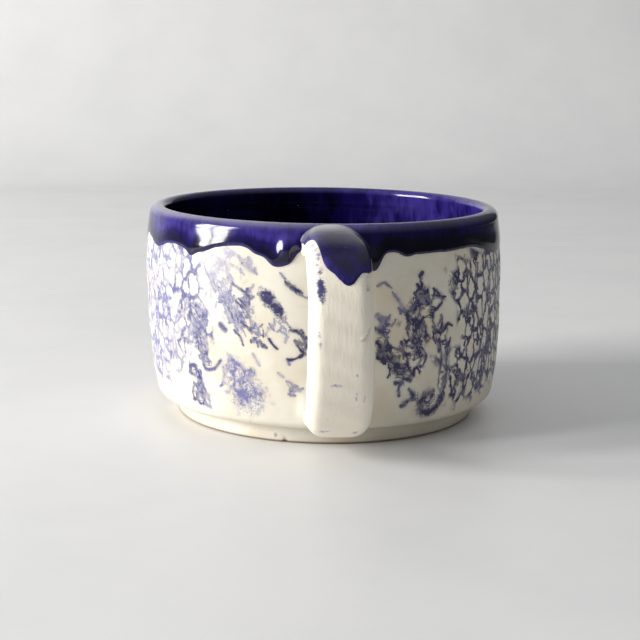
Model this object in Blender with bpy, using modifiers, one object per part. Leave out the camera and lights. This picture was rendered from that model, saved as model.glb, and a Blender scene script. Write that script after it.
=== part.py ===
"""A hand-built stoneware shaving mug: a wide, low cup on a foot ring, with a strap handle.

A cobalt glaze lines the cup, rolls over its lip and drips down the outside and over the handle's top.
The mug stands on Z = 0 and its handle points along -Y. The world origin is under the middle of the
whole mug's box, so the cup's own axis is behind it, on the empty that carries every piece.
Outlines are (radius, height) or (reach, height) pairs in millimetres, measured from the cup's axis
and from the table. Clay that was luted together, and glaze on clay, keep JOINT_GAP between meshes.
"""

import math

import bmesh
import bpy
import numpy as np

MM = 0.001
TURN_STEPS = 60
JOINT_GAP = 0.3
GLAZE_THICKNESS = 0.6
GLAZE_MIDDLE = JOINT_GAP + GLAZE_THICKNESS / 2      # from the clay to the middle of its glaze

# The cup
HEIGHT = 65.5               # table to the glazed lip
BODY_RADIUS = 56.0          # widest bare clay
WALL_INSIDE = 51.6
LIP_INSIDE = 50.3
LIP_OUTSIDE = 54.0
LIP_INNER_ROUND = 1.2
LIP_OUTER_ROUND = 2.1
COVE_ROUND = 3.1            # where the wall runs into the floor, inside
FOOT_RADIUS = 47.0
FOOT_INSIDE = 39.0
FOOT_HEIGHT = 5.5
FOOT_ROUND = 0.9
FLOOR_THICKNESS = 4.8
FLOOR_EDGE_BEVEL = 0.5
CORNER_ROUND = 3.0          # under the wall
CORNER_CENTRE = 50.7
LIP_TOP = HEIGHT - JOINT_GAP - GLAZE_THICKNESS
FLOOR_BOTTOM = FOOT_HEIGHT + JOINT_GAP
FLOOR_TOP = FLOOR_BOTTOM + FLOOR_THICKNESS
FLOOR_RADIUS = WALL_INSIDE - COVE_ROUND - JOINT_GAP
# down the outside of the bare wall, from under the lip's round to the corner's
WALL_OUTSIDE = [
    (LIP_OUTSIDE, 62.5), (54.35, 59.5), (54.8, 56.0), (55.2, 53.0), (55.7, 50.0), (BODY_RADIUS, 46.0),
    (BODY_RADIUS, 40.0), (55.9, 33.0), (55.6, 25.0), (55.0, 18.0), (54.3, 12.5), (53.7, 9.2),
]

# The handle
HANDLE_REACH = 82.0         # cup's axis to the strap's outer face
STRAP_THICKNESS = 6.8
STRAP_OUTER_ROUND = 3.6
STRAP_INNER_ROUND = 1.2
STRAP_CROWN = 0.35          # how far the outer face bulges
STRAP_WIDTHS = [(5.0, 18.6), (35.0, 17.4), (64.0, 16.1)]    # (height, width)
STRAP_STATIONS = 34
# along the middle of the strap's outer face, from inside the wall at the top to inside it below
STRAP_ROUTE = [
    (52.0, 63.7), (57.0, 63.6), (64.0, 62.9), (71.0, 60.8), (77.0, 56.4), (80.6, 50.0),
    (HANDLE_REACH, 41.5), (HANDLE_REACH - 0.4, 31.0), (79.2, 22.5), (74.6, 15.0), (68.0, 9.4),
    (60.0, 5.6), (55.0, 5.2), (49.5, 5.1),
]
# Each fillet's outline: corners inside the wall and the strap, which then trim it, and its hollow side
# as an arc's centre, radius and two angles
UPPER_FILLET_CORNERS = [(60.0, 58.5), (54.0, 58.5), (54.0, 52.6)]
UPPER_FILLET_HOLLOW = ((60.6, 52.6), 4.6, 180, 100)
UPPER_FILLET_WIDTH = 13.0
LOWER_FILLET_CORNERS = [(52.5, 20.0), (52.5, 10.0), (62.5, 11.5), (62.5, 15.2)]
LOWER_FILLET_HOLLOW = ((61.0, 20.4), 5.0, 270, 185)
LOWER_FILLET_WIDTH = 14.5

# The glaze's edges
LINER_TOP = 59.9
GLAZE_LEVEL = 57.7
RIM_COLUMNS = 100
RIM_ROWS = 4                # down the outside
# (degrees from the handle towards +X, length in mm, half-width in degrees), once round the cup
DRIPS = [
    (-67, 3.0, 7.5), (-46.5, 3.0, 4.5), (-29, -0.9, 5), (-16.5, 4.3, 5.2), (11.8, 5.8, 2.4),
    (22.4, 1.5, 2.8), (36, 1.0, 9), (70, 4.4, 13), (98, 1.2, 5), (114, 4.4, 4.5), (133, 1.2, 7),
    (153, 2.8, 4), (174, 4.9, 5), (-163, 1.6, 4), (-142, 3.6, 5.5), (-118, 2.0, 7), (-95, 4.6, 4.5),
]
UNDER_STRAP_RISE = 9.0      # the rim's glaze stops above the strap's root
UNDER_STRAP_HALF = 7.0      # degrees
UNDER_STRAP_BLEND = 0.55    # degrees
CAP_START = 55.8            # reach where the handle's glaze cap begins
CAP_ROWS = 14
# (mm across the strap, height) of the cap's lower edge, which leaves the strap's -X edge bare
CAP_EDGE = [(-7.0, 62.0), (-5.0, 59.5), (-4.0, 56.2), (-1.5, 55.0), (2.0, 52.9), (4.6, 54.0),
            (6.6, 55.8), (10.0, 56.3)]

AXIS_Y = (HANDLE_REACH - BODY_RADIUS) / 2
CREAM = (0.80, 0.75, 0.62)
COBALT = (0.020, 0.010, 0.150)


# ---- Blender helpers ----

def clear_scene():
    for thing in list(bpy.data.objects):
        bpy.data.objects.remove(thing, do_unlink=True)


def new_collection(name):
    collection = bpy.data.collections.new(name)
    bpy.context.scene.collection.children.link(collection)
    return collection


def principled(name, colour, roughness):
    material = bpy.data.materials.new(name)
    material.use_nodes = True
    shader = material.node_tree.nodes["Principled BSDF"]
    shader.inputs["Base Color"].default_value = (*colour, 1.0)
    shader.inputs["Roughness"].default_value = roughness
    shader.inputs["Metallic"].default_value = 0.0
    return material


def add_piece(name, mesh, colour, roughness):
    """Stands a piece of the mug on the cup's axis, with its own material."""
    piece = bpy.data.objects.new(name, mesh)
    mug.objects.link(piece)
    piece.parent = cup_axis
    mesh.materials.append(principled(name + "_finish", colour, roughness))
    return piece


def add_cutter(name, mesh):
    cutter = bpy.data.objects.new(name, mesh)
    cutters.objects.link(cutter)
    cutter.parent = cup_axis
    cutter.hide_render = True
    cutter.display_type = "WIRE"
    return cutter


def tidy_mesh(mesh, weld=0.0):
    """Welds loose caps, turns the faces outwards and shades the rounds smooth."""
    shape = bmesh.new()
    shape.from_mesh(mesh)
    if weld:
        bmesh.ops.remove_doubles(shape, verts=shape.verts, dist=weld * MM)
    bmesh.ops.recalc_face_normals(shape, faces=shape.faces)
    shape.to_mesh(mesh)
    shape.free()
    mesh.shade_smooth()
    mesh.set_sharp_from_angle(angle=math.radians(40))


def mesh_from(name, points, faces):
    mesh = bpy.data.meshes.new(name)
    mesh.from_pydata([tuple(MM * value for value in point) for point in points], [], faces)
    tidy_mesh(mesh)
    return mesh


def outline_mesh(name, outline, closed):
    """An outline in the XZ plane, for a Screw to turn. It runs down its outer side."""
    edges = [(i, i + 1) for i in range(len(outline) - 1)]
    if closed:
        edges.append((len(outline) - 1, 0))
    mesh = bpy.data.meshes.new(name)
    mesh.from_pydata([(radius * MM, 0, height * MM) for radius, height in outline], edges, [])
    return mesh


def turn(thing):
    screw = thing.modifiers.new("Turn", "SCREW")
    screw.steps = screw.render_steps = TURN_STEPS
    screw.use_merge_vertices = True
    screw.merge_threshold = 0.00001
    screw.use_smooth_shade = True
    return thing


def cut(thing, cutter):
    boolean = thing.modifiers.new("Cut " + cutter.name, "BOOLEAN")
    boolean.operation = "DIFFERENCE"
    boolean.solver = "EXACT"
    boolean.object = cutter


def thicken(thing):
    solidify = thing.modifiers.new("Glaze thickness", "SOLIDIFY")
    solidify.thickness = GLAZE_THICKNESS * MM
    solidify.offset = 0
    solidify.use_even_offset = True


def grid_faces(rows, columns, wrapped):
    """Quads between the points of a grid, row by row, joined round into a tube where wrapped."""
    across = range(columns if wrapped else columns - 1)
    return [
        (row * columns + i, row * columns + (i + 1) % columns,
         (row + 1) * columns + (i + 1) % columns, (row + 1) * columns + i)
        for row in range(rows - 1) for i in across
    ]


def arc(centre, radius, start, end, steps):
    """Points on an arc in the (radius, height) plane, with angles in degrees."""
    angles = [math.radians(start + (end - start) * i / steps) for i in range(steps + 1)]
    return [(centre[0] + radius * math.cos(a), centre[1] + radius * math.sin(a)) for a in angles]


# ---- the cup's outlines ----

def outside_radius(height):
    radii, heights = zip(*reversed(WALL_OUTSIDE))
    return float(np.interp(height, heights, radii))


def inner_lip(grow=0.0):
    """From the lip's inner side to its top, grown by what lies on the clay."""
    centre = (LIP_INSIDE + LIP_INNER_ROUND, LIP_TOP - LIP_INNER_ROUND)
    return arc(centre, LIP_INNER_ROUND + grow, 180, 90, 3)


def outer_lip(grow=0.0):
    centre = (LIP_OUTSIDE - LIP_OUTER_ROUND, LIP_TOP - LIP_OUTER_ROUND)
    return arc(centre, LIP_OUTER_ROUND + grow, 90, 0, 4)


def inside_line(grow=0.0):
    """From the cove at the floor up the inside of the wall, with the growth inwards."""
    centre = (WALL_INSIDE - COVE_ROUND, FLOOR_TOP + COVE_ROUND)
    wall = [(WALL_INSIDE, 30.0), (WALL_INSIDE, 52.0), (51.2, 57.0), (LIP_INSIDE + 0.3, 60.6)]
    return arc(centre, COVE_ROUND - grow, -90, 0, 4) + [(radius - grow, height) for radius, height in wall]


def bottom_corner(grow=0.0):
    """The round under the wall, from its side to the shelf above the foot."""
    return arc((CORNER_CENTRE, FLOOR_BOTTOM + CORNER_ROUND), CORNER_ROUND + grow, 12, -90, 4)


# ---- the handle's strap ----

def smooth_line(points, steps):
    """Catmull-Rom points through a short list, with this many steps to each stretch."""
    p = np.array([points[0], *points, points[-1]], float)
    line = []
    for i in range(1, len(p) - 2):
        a, b, c, d = p[i - 1 : i + 3]
        for t in np.arange(steps) / steps:
            bend = (2 * a - 5 * b + 4 * c - d) * t**2 + (3 * b - a - 3 * c + d) * t**3
            line.append(0.5 * (2 * b + (c - a) * t + bend))
    return np.array([*line, p[-2]])


def strap_route():
    """Evenly spaced stations along the strap, as (reach, height), and the outward direction at each."""
    line = smooth_line(STRAP_ROUTE, 12)
    length = np.concatenate([[0], np.cumsum(np.linalg.norm(np.diff(line, axis=0), axis=1))])
    even = np.linspace(0, length[-1], STRAP_STATIONS)
    stations = np.stack([np.interp(even, length, line[:, k]) for k in (0, 1)], axis=1)
    along = np.gradient(stations, axis=0)
    along /= np.linalg.norm(along, axis=1)[:, None]
    return stations, np.stack([-along[:, 1], along[:, 0]], axis=1)


def strap_half(height):
    heights, widths = zip(*STRAP_WIDTHS)
    return float(np.interp(height, heights, widths)) / 2


def strap_point(at, across, depth):
    """A point over the strap's outer face: at counts stations, and depth is below zero in the strap."""
    stations, outwards = strap_route()
    order = range(STRAP_STATIONS)
    reach, height = [
        float(np.interp(at, order, stations[:, k]) + depth * np.interp(at, order, outwards[:, k]))
        for k in (0, 1)
    ]
    return (across, -reach, height)


def outer_side(half, grow=0.0):
    """(across, depth) round the strap's outer face, from its +X side to its -X side."""
    centre = (half - STRAP_OUTER_ROUND, -STRAP_OUTER_ROUND)
    right = [(across, depth - STRAP_CROWN * (across / half) ** 2)
             for across, depth in arc(centre, STRAP_OUTER_ROUND + grow, 0, 90, 4)]
    return right + [(0.0, grow)] + [(-across, depth) for across, depth in reversed(right)]


def strap_section(half, grow=0.0):
    """(across, depth) once round the D-shaped section."""
    centre = (STRAP_INNER_ROUND - half, STRAP_INNER_ROUND - STRAP_THICKNESS)
    left = arc(centre, STRAP_INNER_ROUND + grow, 180, 270, 3)
    return outer_side(half, grow) + left + [(-across, depth) for across, depth in reversed(left)]


def strap_mesh(name, grow=0.0):
    stations, _ = strap_route()
    rings = [
        [strap_point(at, across, depth) for across, depth in strap_section(strap_half(height), grow)]
        for at, (_, height) in enumerate(stations)
    ]
    count = len(rings[0])
    faces = grid_faces(STRAP_STATIONS, count, wrapped=True)
    last = (STRAP_STATIONS - 1) * count
    faces += [tuple(range(count)), tuple(range(last, last + count))]
    return mesh_from(name, [point for ring in rings for point in ring], faces)


# ---- cutters ----

def make_body_clearance():
    """The cup's outer form and JOINT_GAP more, which trims what is luted to the wall."""
    outline = [(0, LIP_TOP + 3), (CORNER_CENTRE, LIP_TOP + 3), *outer_lip(JOINT_GAP)]
    outline += [(radius + JOINT_GAP, height) for radius, height in WALL_OUTSIDE[1:]]
    outline += bottom_corner(JOINT_GAP)[1:]
    outline += [(CORNER_CENTRE, FLOOR_BOTTOM - 2), (0, FLOOR_BOTTOM - 2)]
    return turn(add_cutter("body_clearance", outline_mesh("body_clearance", outline, closed=False)))


def make_strap_clearance():
    return add_cutter("strap_clearance", strap_mesh("strap_clearance", JOINT_GAP))


# ---- pieces ----

def make_wall_band():
    outline = inner_lip() + outer_lip() + WALL_OUTSIDE[1:] + bottom_corner()
    outline += [(FLOOR_RADIUS + JOINT_GAP, FLOOR_BOTTOM)] + inside_line()
    turn(add_piece("wall_band", outline_mesh("wall_band", outline, closed=True), CREAM, 0.32))


def make_floor_disc():
    bevel = FLOOR_EDGE_BEVEL
    outline = [(0, FLOOR_TOP), (FLOOR_RADIUS - bevel, FLOOR_TOP), (FLOOR_RADIUS, FLOOR_TOP - bevel),
               (FLOOR_RADIUS, FLOOR_BOTTOM + bevel), (FLOOR_RADIUS - bevel, FLOOR_BOTTOM), (0, FLOOR_BOTTOM)]
    turn(add_piece("floor_disc", outline_mesh("floor_disc", outline, closed=False), CREAM, 0.45))


def make_foot_ring():
    inner, outer = FOOT_INSIDE + FOOT_ROUND, FOOT_RADIUS - FOOT_ROUND
    low, high = FOOT_ROUND, FOOT_HEIGHT - FOOT_ROUND
    outline = arc((outer, high), FOOT_ROUND, 90, 0, 2) + arc((outer, low), FOOT_ROUND, 0, -90, 2)
    outline += arc((inner, low), FOOT_ROUND, -90, -180, 2) + arc((inner, high), FOOT_ROUND, 180, 90, 2)
    turn(add_piece("foot_ring", outline_mesh("foot_ring", outline, closed=True), CREAM, 0.40))


def make_handle_strap():
    strap = add_piece("handle_strap", strap_mesh("handle_strap"), CREAM, 0.34)
    cut(strap, body_clearance)


def make_fillet(name, corners, hollow, width):
    """A coil of clay pressed into the corner between the strap and the wall."""
    outline = corners + arc(*hollow, steps=6)
    curve = bpy.data.curves.new(name, "CURVE")
    curve.dimensions = "2D"
    curve.fill_mode = "BOTH"
    curve.extrude = width / 2 * MM
    spline = curve.splines.new("POLY")
    spline.points.add(len(outline) - 1)
    for point, (reach, height) in zip(spline.points, outline):
        point.co = (-reach * MM, height * MM, 0, 1)
    spline.use_cyclic_u = True
    drawn = bpy.data.objects.new(name + "_outline", curve)
    cutters.objects.link(drawn)
    mesh = bpy.data.meshes.new_from_object(drawn.evaluated_get(bpy.context.evaluated_depsgraph_get()))
    bpy.data.objects.remove(drawn)
    tidy_mesh(mesh, weld=0.001)
    fillet = add_piece(name, mesh, CREAM, 0.36)
    fillet.rotation_euler = (math.pi / 2, 0, math.pi / 2)
    cut(fillet, body_clearance)
    cut(fillet, strap_clearance)


def make_liner_glaze():
    line = inside_line(GLAZE_MIDDLE)
    line[-1] = (line[-1][0], LINER_TOP)
    outline = [(0, FLOOR_TOP + GLAZE_MIDDLE)] + line
    thicken(turn(add_piece("liner_glaze", outline_mesh("liner_glaze", outline, closed=False), COBALT, 0.1)))


def glaze_edge(degrees):
    """Height of the glaze's lower edge round the outside."""
    height = GLAZE_LEVEL
    for centre, length, half_width in DRIPS:
        away = (degrees - centre + 180) % 360 - 180
        height -= length * math.exp(-((away / half_width) ** 2))
    past_strap = (abs(degrees) - UNDER_STRAP_HALF) / UNDER_STRAP_BLEND
    return height + UNDER_STRAP_RISE / (1 + math.exp(past_strap))


def make_rim_glaze():
    """One skin from under the lip's inner side, over the lip and down to the dripping edge."""
    start = (LIP_INSIDE + 0.3 - GLAZE_MIDDLE, LINER_TOP + JOINT_GAP)
    lip = [start] + inner_lip(GLAZE_MIDDLE) + outer_lip(GLAZE_MIDDLE)
    lip_low = lip[-1][1]
    points = []
    for row in range(len(lip) + RIM_ROWS):
        for column in range(RIM_COLUMNS):
            degrees = column * 360 / RIM_COLUMNS - 180
            if row < len(lip):
                radius, height = lip[row]
            else:
                drop = min(glaze_edge(degrees), lip_low - 1) - lip_low
                height = lip_low + drop * (row - len(lip) + 1) / RIM_ROWS
                radius = outside_radius(height) + GLAZE_MIDDLE
            angle = math.radians(degrees)
            points.append((radius * math.sin(angle), -radius * math.cos(angle), height))
    faces = grid_faces(len(lip) + RIM_ROWS, RIM_COLUMNS, wrapped=True)
    rim = add_piece("rim_glaze", mesh_from("rim_glaze", points, faces), COBALT, 0.1)
    thicken(rim)
    cut(rim, strap_clearance)


def make_handle_glaze():
    """A cap over the strap's top, whose columns run down to its own dripping edge."""
    stations, _ = strap_route()
    order = np.arange(STRAP_STATIONS)
    start = float(np.interp(CAP_START, stations[: STRAP_STATIONS // 3, 0], order[: STRAP_STATIONS // 3]))
    half = strap_half(HEIGHT)
    section = [point for point in outer_side(half, GLAZE_MIDDLE) if point[0] > CAP_EDGE[0][0]]
    points = []
    for row in range(CAP_ROWS):
        for across, depth in section:
            edge = float(np.interp(across, *zip(*CAP_EDGE)))
            end = float(np.interp(-edge, -stations[:, 1], order))
            at = start + (end - start) * row / (CAP_ROWS - 1)
            wider = strap_half(np.interp(at, order, stations[:, 1])) - half
            points.append(strap_point(at, across + math.copysign(wider, across), depth))
    faces = grid_faces(CAP_ROWS, len(section), wrapped=False)
    thicken(add_piece("handle_glaze", mesh_from("handle_glaze", points, faces), COBALT, 0.1))


clear_scene()
mug = new_collection("shaving_mug")
cutters = new_collection("cutters")
cup_axis = bpy.data.objects.new("cup_axis", None)
mug.objects.link(cup_axis)
cup_axis.location = (0, AXIS_Y * MM, 0)

body_clearance = make_body_clearance()
strap_clearance = make_strap_clearance()
make_wall_band()
make_floor_disc()
make_foot_ring()
make_handle_strap()
make_fillet("upper_handle_fillet", UPPER_FILLET_CORNERS, UPPER_FILLET_HOLLOW, UPPER_FILLET_WIDTH)
make_fillet("lower_handle_fillet", LOWER_FILLET_CORNERS, LOWER_FILLET_HOLLOW, LOWER_FILLET_WIDTH)
make_liner_glaze()
make_rim_glaze()
make_handle_glaze()
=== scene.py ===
"""Looks for the shaving mug: thrown cream clay with blue brushwork, and cobalt glaze dripping over the lip.

Every piece stands for one CAD node and repeats its form finely. Lengths are in millimetres in the
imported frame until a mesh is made. Round the cup, places are (degrees, height): degrees are counted
from the handle, which points along -Y, and grow towards +X.
"""

import math

import bmesh
import bpy
import numpy as np
from mathutils import Matrix, Vector


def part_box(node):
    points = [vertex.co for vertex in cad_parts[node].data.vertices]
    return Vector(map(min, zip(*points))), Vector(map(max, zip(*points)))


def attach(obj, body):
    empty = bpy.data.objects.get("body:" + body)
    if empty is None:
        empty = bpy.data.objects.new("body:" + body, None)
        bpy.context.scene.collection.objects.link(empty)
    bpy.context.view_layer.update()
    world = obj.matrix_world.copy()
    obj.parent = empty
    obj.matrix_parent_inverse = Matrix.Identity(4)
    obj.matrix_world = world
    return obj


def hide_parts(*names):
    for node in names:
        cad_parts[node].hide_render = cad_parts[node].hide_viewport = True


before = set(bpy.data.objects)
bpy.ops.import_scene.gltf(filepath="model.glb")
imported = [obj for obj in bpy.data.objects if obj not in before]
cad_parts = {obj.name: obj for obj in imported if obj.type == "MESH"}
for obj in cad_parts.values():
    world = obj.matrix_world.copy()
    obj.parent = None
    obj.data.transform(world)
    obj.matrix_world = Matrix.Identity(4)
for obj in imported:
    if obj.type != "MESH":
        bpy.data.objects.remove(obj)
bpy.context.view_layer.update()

MM = 0.001
wall_low, wall_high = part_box("wall_band")
AXIS_Y = (wall_low.y + wall_high.y) / 2 / MM
rng = np.random.default_rng(5)

# ---- sizes, as in part.py ----
BODY_RADIUS = 56.0
WALL_INSIDE = 51.6
LIP_INSIDE = 50.2
LIP_OUTSIDE = 54.3
LIP_TOP = 65.0
LIP_INNER_ROUND = 1.5
LIP_OUTER_ROUND = 2.4
COVE_ROUND = 3.1
FOOT_RADIUS = 47.0
FOOT_INSIDE = 39.0
FOOT_ROUND = 0.9
SHELF = 5.7                 # height of the cup's underside over the foot
FLOOR_TOP = 10.6
FLOOR_RADIUS = 48.6
CORNER_ROUND = 3.0
CORNER_CENTRE = 50.55
CHIP_AT = -17.5             # degrees, on the foot's outer edge
# (radius, height) up the inside, above the cove
WALL_INNER = [(WALL_INSIDE, 30.0), (WALL_INSIDE, 50.0), (51.3, 56.5), (50.6, 60.5),
              (LIP_INSIDE, LIP_TOP - LIP_INNER_ROUND)]
SKINS_MEET = 60.5           # height where the liner's glaze becomes the rim's
# (radius, height) down the bare outside
WALL_OUTSIDE = [
    (LIP_OUTSIDE, 62.6), (54.7, 59.5), (55.25, 56.0), (55.75, 52.0), (56.0, 48.0), (BODY_RADIUS, 40.0),
    (55.95, 34.0), (55.76, 27.5), (55.3, 20.2), (54.4, 13.0), (53.65, 8.9),
]
LOWER_SHIFT = 1.0           # the cup's foot end leans this far towards +X
LEAN_TOP = 50.0

HANDLE_REACH = 82.0
STRAP_THICKNESS = 6.8
STRAP_OUTER_ROUND = 3.8
STRAP_INNER_ROUND = 1.6
STRAP_CROWN = 0.35
STRAP_WIDTHS = [(5.0, 18.6), (20.0, 18.5), (35.0, 18.0), (50.0, 17.3), (64.0, 17.2)]
STRAP_LEAN = [(5.0, 1.2), (35.0, 0.8), (50.0, 0.5), (64.0, 0.1)]
STRAP_HALF = 8.7
STRAP_ROUTE = [
    (52.0, 64.1), (57.0, 64.0), (64.0, 63.1), (71.0, 60.9), (77.0, 56.4), (80.6, 50.0),
    (HANDLE_REACH, 41.5), (HANDLE_REACH - 0.4, 31.0), (79.2, 22.5), (74.6, 15.0), (68.0, 9.4),
    (60.0, 5.7), (55.0, 5.2), (49.5, 5.1),
]
TONGUE_ROUND = 4.0          # the strap's lowest corners, seen from the front
RIGHT_SHOULDER = 4.2        # how far the strap's top falls away to its edges, near the lip
LEFT_SHOULDER = 1.2
GOUGE_AT = (6.0, 38.4)      # (mm across, height) of a nick in the strap's right edge
GOUGE_SLOPE = (0.62, 0.78)
# pressed coils: (name, node, the corner that it fills as (reach, height), its hollow face as an arc,
# half-width, middle)
COILS = [
    ("upper_coil", "upper_handle_fillet", [(62.0, 58.6), (53.4, 58.6), (53.4, 51.8)],
     ((61.4, 51.8), 5.4, 180, 90), 6.6, -1.0),
    ("lower_coil", "lower_handle_fillet", [(52.6, 20.6), (52.6, 10.0), (63.2, 11.0)],
     ((61.2, 20.6), 5.6, 290, 180), 7.6, 0.6),
]

GLAZE = 0.5                 # thickness of the glaze skins
BEAD = 0.8                  # width over which a glaze edge rolls down to the clay
LINER_POOL = 0.15           # how deep the glaze's colour is inside on its painted lit side, where it is palest
PAINTED_LIT_SIDE = 108             # degrees: the side inside the cup that is painted palest, as painted light
# runs where the glaze stands thicker: (degrees, height, half-width, half-height, rise)
SWELLS = [
    (-13.8, 58.8, 2.5, 3.4, 1.30), (-17.0, 55.4, 2.6, 2.2, 0.25), (11.5, 55.6, 2.4, 2.4, 0.25),
    (-38.0, 57.2, 9.0, 3.6, 0.70),
]
# and where it is thin: the same, but last how much less deep its colour is
SHALLOWS = [(-10.5, 61.0, 4.0, 3.0, 0.5), (-26.0, 62.0, 8.0, 2.5, 0.3), (-64.0, 60.0, 9.0, 5.0, 0.3)]
SUNK = 0.12                 # how deep the hidden side of a skin lies in the clay
# (degrees, height) of the rim glaze's lower edge
RIM_EDGE = [
    (-180, 53.6), (-174, 54.9), (-168, 56.6), (-163, 56.0), (-157, 57.1), (-150, 57.2), (-142, 54.0),
    (-135, 56.8), (-126, 57.2), (-118, 55.6), (-109, 57.2), (-101, 55.6), (-95, 53.2), (-89, 55.9),
    (-80, 57.2), (-74, 56.3), (-67, 54.6), (-60, 56.5), (-54, 56.7), (-50, 55.9), (-47, 54.1),
    (-45, 55.3), (-41, 56.2), (-36.5, 57.7), (-32, 58.3), (-27, 58.3), (-24, 56.7), (-21, 55.9),
    (-19, 54.3), (-17, 53.4), (-14, 54.0), (-11.9, 55.4), (-11, 57.2), (-8.5, 58.4), (-4, 57.6),
    (4, 57.0), (8.5, 53.6), (11, 52.4), (12.8, 52.9), (13.6, 54.3), (14.4, 55.8), (15.4, 57.1),
    (18.6, 57.6), (21, 56.5), (23, 56.2), (27, 56.8), (39, 56.7), (47, 57.0), (52, 56.4), (59, 54.9),
    (67, 53.2), (74, 54.2), (83, 56.6), (92, 57.0), (98, 56.2), (106, 57.1), (114, 53.2), (121, 56.8),
    (133, 56.3), (144, 57.4), (153, 54.8), (161, 57.3), (169, 55.2), (175, 53.0),
]
# (mm round the section from the middle of the outer face, height there) of the handle cap's lower edge
CAP_EDGE = [
    (-10.2, 64.0), (-9.2, 63.7), (-8.0, 63.5), (-7.0, 63.3), (-6.2, 62.9), (-5.4, 61.6), (-4.8, 59.4),
    (-4.2, 57.2), (-3.0, 56.3), (-1.6, 55.3), (-0.4, 54.0), (0.8, 52.9), (2.2, 52.5), (3.4, 53.0),
    (4.6, 54.5), (5.8, 55.8), (7.2, 56.1), (8.6, 56.6), (10.0, 57.6), (12.0, 58.8), (14.0, 60.0),
]

# ---- the brushwork, under the clear glaze ----
# (half-width in mm, depth of colour from 0 to 1, points as (degrees, height))
STROKES = [
    # pale marks left of the handle
    (0.32, 0.55, [(-42.7, 25.5), (-43.2, 23), (-41.7, 21.2), (-38.5, 21.9), (-36, 24.5)]),
    (0.30, 0.35, [(-33, 52.8), (-32.6, 51.2), (-32, 49.4)]),
    (0.40, 0.30, [(-28.8, 55.4), (-27, 53.8), (-24.3, 52)]),
    (0.28, 0.35, [(-40.9, 51.4), (-39, 48.6), (-36.7, 44.8)]),
    (0.28, 0.45, [(-37.2, 47.6), (-36.4, 46.5), (-35.2, 46.2)]),
    (0.24, 0.65, [(-30.4, 47.6), (-27.6, 46.2), (-25, 44.2), (-25.8, 41.6), (-28.2, 43.4)]),
    (0.24, 0.65, [(-29.4, 42.6), (-26.8, 41), (-25.2, 38.6), (-27.4, 38.2)]),
    (0.24, 0.60, [(-32.6, 40.8), (-30.8, 38.6), (-31.8, 36.6)]),
    (0.26, 0.70, [(-28.8, 37.6), (-26.6, 36), (-24.7, 34.4)]),
    (0.24, 0.60, [(-30, 34), (-28.4, 32.4), (-27.6, 30.4)]),
    (0.50, 0.65, [(-35, 35.2), (-34.4, 34.6), (-34, 34.4)]),
    (0.24, 0.80, [(-21.9, 31.8), (-21.3, 30.6), (-20.4, 30.2)]),
    (0.24, 0.80, [(-19, 32.4), (-18, 31), (-16.8, 30)]),
    (0.26, 0.30, [(-15.4, 34.9), (-13.8, 34), (-14.2, 32.4)]),
    (0.22, 0.35, [(-15.6, 51.6), (-14.6, 50.6)]),
    (0.34, 0.95, [(-13.6, 49), (-12.6, 48.2), (-12, 48)]),
    (0.34, 0.95, [(-11.2, 47.4), (-10.2, 46.8), (-9.8, 46.4)]),
    (0.18, 0.50, [(-12.8, 47.8), (-11, 46.4), (-8.4, 45.2), (-5, 44.6)]),
    (0.30, 0.95, [(-12, 35.6), (-10.6, 35.4), (-9.4, 34.2), (-8.4, 32), (-7, 30.2)]),
    (0.26, 0.95, [(-10.8, 31.6), (-9.8, 30), (-8.9, 28.8), (-10.4, 27.9), (-12, 27.1), (-13.6, 26.9)]),
    (0.24, 0.40, [(-13.9, 27), (-13.4, 25.8)]),
    (0.24, 0.30, [(-24.2, 27.4), (-23.4, 26), (-22.6, 24.6)]),
    (0.22, 0.30, [(-16.6, 22.6), (-15.6, 21.9)]),
    (0.24, 0.40, [(-14.3, 20.4), (-13, 19.9), (-12.9, 18.3), (-13.6, 16.6), (-12, 16.4)]),
    (0.22, 0.35, [(-11.6, 18.6), (-10.4, 17.9), (-9.8, 18.5)]),
    # dark marks right of the handle
    (0.24, 0.45, [(13, 48.4), (14.8, 49.1), (17, 47.6)]),
    (0.30, 0.35, [(17.4, 46.2), (19.4, 43.6), (20.8, 41.4)]),
    (0.34, 0.85, [(26.9, 50.9), (26.7, 50.7)]),
    (0.46, 0.45, [(13.2, 39.4), (14.2, 38), (13.6, 36.6)]),
    (0.55, 0.75, [(13.4, 35.6), (14.4, 34.8)]),
    (0.42, 0.75, [(19, 19.8), (20.2, 19.9), (21.2, 20.7), (22.8, 20.5)]),
    (0.30, 0.65, [(20.4, 19.6), (19.4, 18), (19.6, 16.4)]),
    (0.42, 0.80, [(23.2, 17.2), (24.8, 15), (23, 14), (21.4, 13)]),
    (0.70, 0.95, [(31.2, 15.8), (29, 15), (27.6, 13.2), (27.9, 10.9), (29.8, 9.5), (32, 9.6),
                  (33.8, 10.8), (34.8, 12.4)]),
    (0.32, 0.75, [(28.8, 13.4), (30.4, 12.6), (31.6, 14.2)]),
]
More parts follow.
